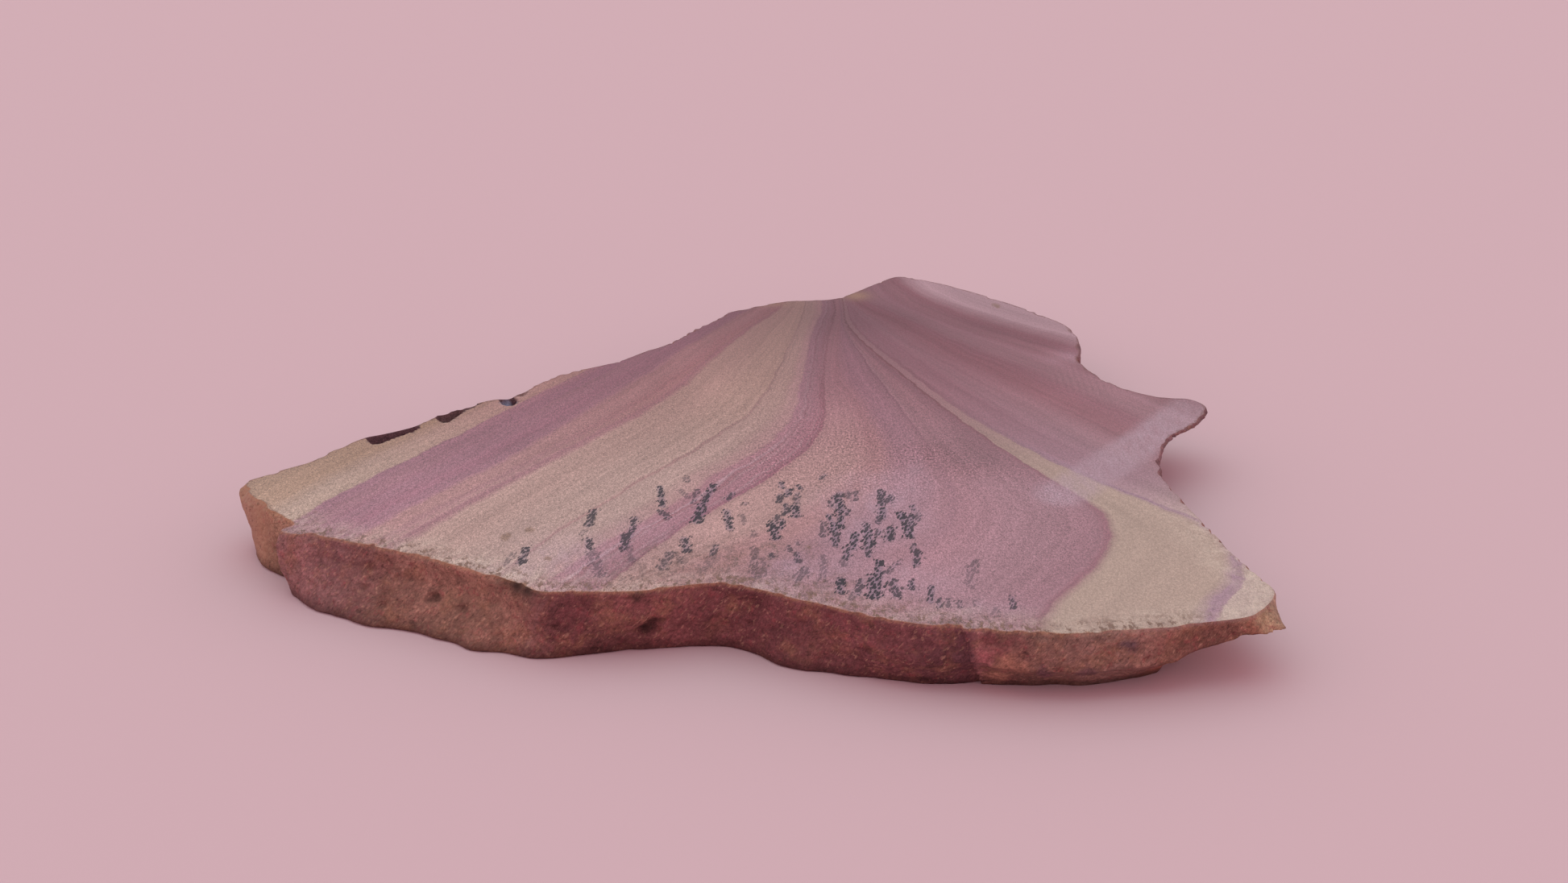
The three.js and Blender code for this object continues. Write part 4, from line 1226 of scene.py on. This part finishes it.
tree, place, read = new_stone("broken_rhyolite")
layers, flow_value, sides = banded_stone(tree, place, read)
weathered = node(tree, "Attribute", attribute_name="rim_tint", out="Color")
colour = stained(tree, weathered, layers, LAYERS_SEEN)
leant = node(tree, "Math", sides["Z"], -FLECK_LEAN, sides["X"], operation="MULTIPLY_ADD")
drawn_z = node(tree, "Math", sides["Z"], FLECK_HEIGHT, operation="MULTIPLY")
leant = node(tree, "CombineXYZ", leant, sides["Y"], drawn_z)
lump = clouds(tree, place, 2.4, 5.0, 0.7)
# painted light: the last level makes the rim up to 4 % lighter towards its upper edge, as if lit
# more from above
colour = shade(tree, colour, clouds(tree, place, 6.0, 3.0, 0.6, (0.3, 0.7, 0.57, 0.91)),
               node(tree, "MapRange", lump, 0.3, 0.7, 0.72, 1.28),
               node(tree, "MapRange", sides["Z"], 4, 7.5, 1.0, 1.04))
for tint, where, *cloud in (
    ("95664f", place, 3.6, 5.0, 0.7, (0.5, 0.66, 0.0, 0.5)),  # rust
    ("94464a", place, 1.1, 4.0, 0.75, (0.56, 0.64, 0.0, 0.45)),  # haematite red
    ("b98a76", leant, 0.42, 3.0, 0.65, (0.58, 0.66, 0.0, 0.45)),  # pale feldspar
):
    colour = stained(tree, colour, tint, clouds(tree, where, *cloud))
print("grain size of the break in mm:", GRAIN)

# %% [markdown]
# A few larger patches of the break have a colour of their own: mauve, brick or brown. Each is
# a ball round a place on the rim, with a reach in millimetres, a strength and a tint. The
# place is pushed about by noise first, so that no patch is round.

# %% Broken rim: patches
BLOTCHES = [
    ((-35.3, -44.7, 3.8), 1.4, 0.5, "5f3c38"), ((-31.4, -47.0, 3.7), 1.2, 0.5, "5f3c38"),
    ((42.0, -62.3, 6.4), 1.5, 0.8, "5f474f"), ((24.0, -61.5, 6.3), 1.5, 0.7, "6c444a"),
    ((24.2, -61.4, 3.8), 1.9, 0.8, "6c444a"), ((27.9, -62.3, 5.9), 1.5, 0.6, "874c4e"),
    ((29.4, -62.4, 7.0), 1.4, 0.5, "874c4e"), ((26.4, -61.8, 4.8), 1.9, 0.7, "b0676a"),
    ((29.4, -62.4, 3.9), 2.4, 0.8, "ac7665"), ((28.3, -60.4, 1.4), 2.2, 0.85, "a97664"),
    ((33.0, -62.0, 2.6), 1.9, 0.8, "6c4850"), ((37.5, -62.2, 3.2), 1.8, 0.75, "63424a"),
    ((47.5, -58.5, 1.6), 3.6, 0.8, "b86c5c"), ((8.0, -55.6, 1.6), 3.6, 0.5, "6a3f40"),
    ((-3.2, -50.4, 1.4), 3.2, 0.5, "6a3f40"), ((-11.0, -52.4, 7.4), 1.5, 0.75, "4a302c"),
    ((7.5, -55.2, 4.4), 2.2, 0.6, "6a3f40"), ((-40.6, -43.2, 3.4), 1.7, 0.6, "7a4f46"),
    ((-18.5, -52.4, 4.0), 2.2, 0.4, "6a3a3c"), ((-16.5, -52.7, 6.6), 1.6, 0.5, "5f3636"),
    ((26.8, -61.9, 7.0), 1.4, 0.8, "7a4245"), ((54.2, -59.2, 4.2), 1.8, 0.8, "8a5148"),
    ((55.6, -58.6, 6.6), 1.3, 0.7, "93594c"),
]
PATCH_NOISE, PATCH_PUSH, PATCH_CORE = 1.4, 2.4, 0.3  # mm, mm, and share in full strength

pushed = node(tree, "TexNoise", place, 1 / PATCH_NOISE, out="Color")
pushed = node(tree, "VectorMath", pushed, (PATCH_PUSH,) * 3, place, operation="MULTIPLY_ADD")
for centre, wide, strong, tint in BLOTCHES:
    centre = Vector(centre) + Vector((PATCH_PUSH / 2,) * 3)
    ball = near_to(tree, pushed, tuple(centre), wide, wide * PATCH_CORE)
    colour = stained(tree, colour, tint, ball, strong)
print("patches on the rim:", len(BLOTCHES))

# %% [markdown]
# Single grains differ in brightness and have darker joints, which a Voronoi pattern gives,
# and finer dust lies over them. The facet at the left end is smoother and keeps its plain
# tint. Dark flecks are scattered over the break, and small holes, dented by the relief and
# filled with painted shade.

# %% Broken rim: grains, dust and holes
HOLE_CELL, HOLE_SQUASH = 1.3, (0.8, 0.8, 1.2)
# dark tint of the painted shade in the small holes and in the pits
HOLE_SHADE_TINT = "2a1817"

fine = clouds(tree, leant, 0.34, 3.0, 0.75)
cells = node(tree, "TexVoronoi", place, 1 / GRAIN).node.outputs
each = node(tree, "SeparateColor", cells["Color"])
colour = shade(tree, colour, node(tree, "MapRange", each, 0, 1, 0.9, 1.1),
               node(tree, "MapRange", cells["Distance"], 0.1, 0.7, 1.08, 0.84),
               node(tree, "MapRange", fine, 0.28, 0.72, 0.8, 1.2),
               clouds(tree, leant, 0.12, 1.0, 0.5, (0.25, 0.75, 0.7, 1.3)))
colour = stained(tree, colour, weathered,
                 node(tree, "MapRange", sides["X"], -55.5, -58.5, 0.0, 0.75))
colour = stained(tree, colour, "3a2321",
                 clouds(tree, leant, 0.45, 4.0, 0.75, (0.58, 0.66, 0.0, 0.6)))
squashed = node(tree, "VectorMath", place, HOLE_SQUASH, operation="MULTIPLY")
holes = node(tree, "TexVoronoi", squashed, 1 / HOLE_CELL).node.outputs
width = node(tree, "SeparateColor", holes["Color"])
width = node(tree, "MapRange", width, 0.75, 1, 0.0, 0.28)
hole = node(tree, "Math", width, holes["Distance"], operation="SUBTRACT")
hole = node(tree, "MapRange", hole, -0.02, 0.08, 0.0, 0.4)
# painted shade in the small holes
colour = stained(tree, colour, HOLE_SHADE_TINT, hole)
print("hole cells mm:", HOLE_CELL)

# %% [markdown]
# Painted shade darkens the pits, mixed with dark specks, and the foot of the rim towards the
# table. The crest is worn, so it is paler, and iron has run over it where the face above is
# stained. The last lines give the fine relief.

# %% Broken rim: pits, foot, crest and finish
# painted shade in the pits, plus dark specks where the fine noise is high
pit_shade_and_specks = node(tree, "Math", fine, 1.4, read["pit"], operation="MULTIPLY_ADD")
pit_shade_and_specks = node(tree, "MapRange", pit_shade_and_specks, 0.8, 1.5, 0.0, 0.75)
colour = stained(tree, colour, HOLE_SHADE_TINT, pit_shade_and_specks)
# painted shade: the lowest 1.8 mm of the rim darken towards the table, where the stone meets it
foot_shade = node(tree, "MapRange", sides["Z"], 1.8, 0.1, 0.0, 0.6, **SMOOTH)
colour = stained(tree, colour, "33191a", foot_shade)
crest_tint = stained(tree, to_linear("b17d60"), "9a7072",
                     node(tree, "MapRange", sides["X"], 34, 44))
colour = stained(tree, colour, crest_tint,
                 node(tree, "MapRange", sides["Z"], 7.6, 7.95, **SMOOTH),
                 node(tree, "MapRange", fine, 0.4, 0.6, 0.1, 0.45))
colour = stained(tree, colour, "3b2824", read["stain"],
                 node(tree, "MapRange", sides["Z"], 6.2, 7.6), 0.85)
colour = stained(tree, colour, "33201f", read["lining"])
relief = node(tree, "Math", lump, 2.5, fine, operation="MULTIPLY_ADD")
for lower in (cells["Distance"], hole):
    relief = node(tree, "Math", relief, lower, operation="SUBTRACT")
matt = node(tree, "MapRange", fine, 0.3, 0.7, 0.78, 0.92)
finish_stone(tree, colour, relief, relief_mm=0.2, strength=0.9, roughness=matt)

# %% [markdown]
# ### Underside: straight off the saw
# Never lapped, so duller than the upper face, with parallel blade marks about a millimetre
# apart and a thin brown line round the edge.

# %% Sawn underside
tree, place, read = new_stone("sawn_rhyolite")
colour, flow_value, sides = banded_stone(tree, place, read)
marks = node(tree, "TexWave", place, 0.35, 1.2, 2.0, 0.4, bands_direction="DIAGONAL", out="Fac")
grain = clouds(tree, place, 0.22, 3.0, 0.7)
colour = shade(tree, colour, node(tree, "MapRange", marks, 0, 1, 0.93, 1.02),
               node(tree, "MapRange", grain, 0.25, 0.75, 0.88, 1.08))
line = node(tree, "MapRange", read["rim_gap"], 0.9, 0.1, 0.0, 0.6, **SMOOTH)
colour = stained(tree, colour, "8a5a48", line)
relief = node(tree, "Math", grain, marks, operation="ADD")
finish_stone(tree, colour, relief, relief_mm=0.04, strength=0.5, roughness=0.68)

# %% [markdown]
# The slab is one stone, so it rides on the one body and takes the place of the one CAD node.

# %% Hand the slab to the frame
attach(slab, "root")
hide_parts(CAD_NODE)
print("the slab stands for", CAD_NODE)

# %% [markdown]
# ## Table, light and background
# A plain pale pink sheet under a small light tent. Most of the light comes from the tent,
# whose walls are brighter than its roof, so shadows stay soft and dark only where the stone
# overhangs. A very broad, weak softbox high up, a little behind and to the left, adds the
# rest. It is greenish blue against the pink of the tent: together they are nearly neutral,
# and what the softbox can't reach turns rosy.

# %% Table
TABLE_SIZE, TABLE_DROP = 6.0, 0.02 * MM  # the drop keeps the sheet clear of the stone
PAPER_ROUGH = 0.9

table_mesh = bpy.data.meshes.new("table")
half = TABLE_SIZE / 2
table_mesh.from_pydata([(-half, -half, 0), (half, -half, 0), (half, half, 0), (-half, half, 0)],
                       [], [(0, 1, 2, 3)])
table = bpy.data.objects.new("table", table_mesh)
table.location.z = -TABLE_DROP
bpy.context.collection.objects.link(table)
paper = bpy.data.materials.new("pink_paper")
paper.use_nodes = True
paper_shader = paper.node_tree.nodes["Principled BSDF"]
paper_shader.inputs["Base Color"].default_value = to_linear("d0acb4")
paper_shader.inputs["Roughness"].default_value = PAPER_ROUGH
paper_shader.inputs["Specular IOR Level"].default_value = DULL_SHINE
table_mesh.materials.append(paper)
print("table size m:", TABLE_SIZE)

# %% [markdown]
# The tent is the world's own light. Its strength runs from the walls, level with the table,
# to the roof straight above, over the height of the direction that the light comes from.

# %% Tent and softbox
TENT_COLOUR, WALL_LIGHT, ROOF_LIGHT = (1, 0.75, 0.79, 1), 1.49, 0.65
SOFTBOX_COLOUR, SOFTBOX_ENERGY, SOFTBOX_WIDTH = (0.207, 0.83, 0.725), 1.1, math.radians(80)
SOFTBOX_TILT, SOFTBOX_LEAN = math.radians(-14), math.radians(-3)

world = bpy.data.worlds.new("tent")
bpy.context.scene.world = world
world.use_nodes = True
sky = world.node_tree.nodes["Background"]
sky.inputs["Color"].default_value = TENT_COLOUR
towards = node(world.node_tree, "TexCoord", out="Generated")
rise = node(world.node_tree, "SeparateXYZ", towards).node.outputs["Z"]
level = node(world.node_tree, "MapRange", rise, 0, 1, WALL_LIGHT, ROOF_LIGHT)
world.node_tree.links.new(level, sky.inputs["Strength"])
sun = bpy.data.lights.new("softbox", "SUN")
sun.energy, sun.color, sun.angle = SOFTBOX_ENERGY, SOFTBOX_COLOUR, SOFTBOX_WIDTH
softbox = bpy.data.objects.new("softbox", sun)
softbox.rotation_euler = (SOFTBOX_TILT, SOFTBOX_LEAN, 0)
bpy.context.collection.objects.link(softbox)
bpy.context.scene.view_settings.view_transform = "Standard"
print("tent from", WALL_LIGHT, "at the walls to", ROOF_LIGHT, "at the roof")
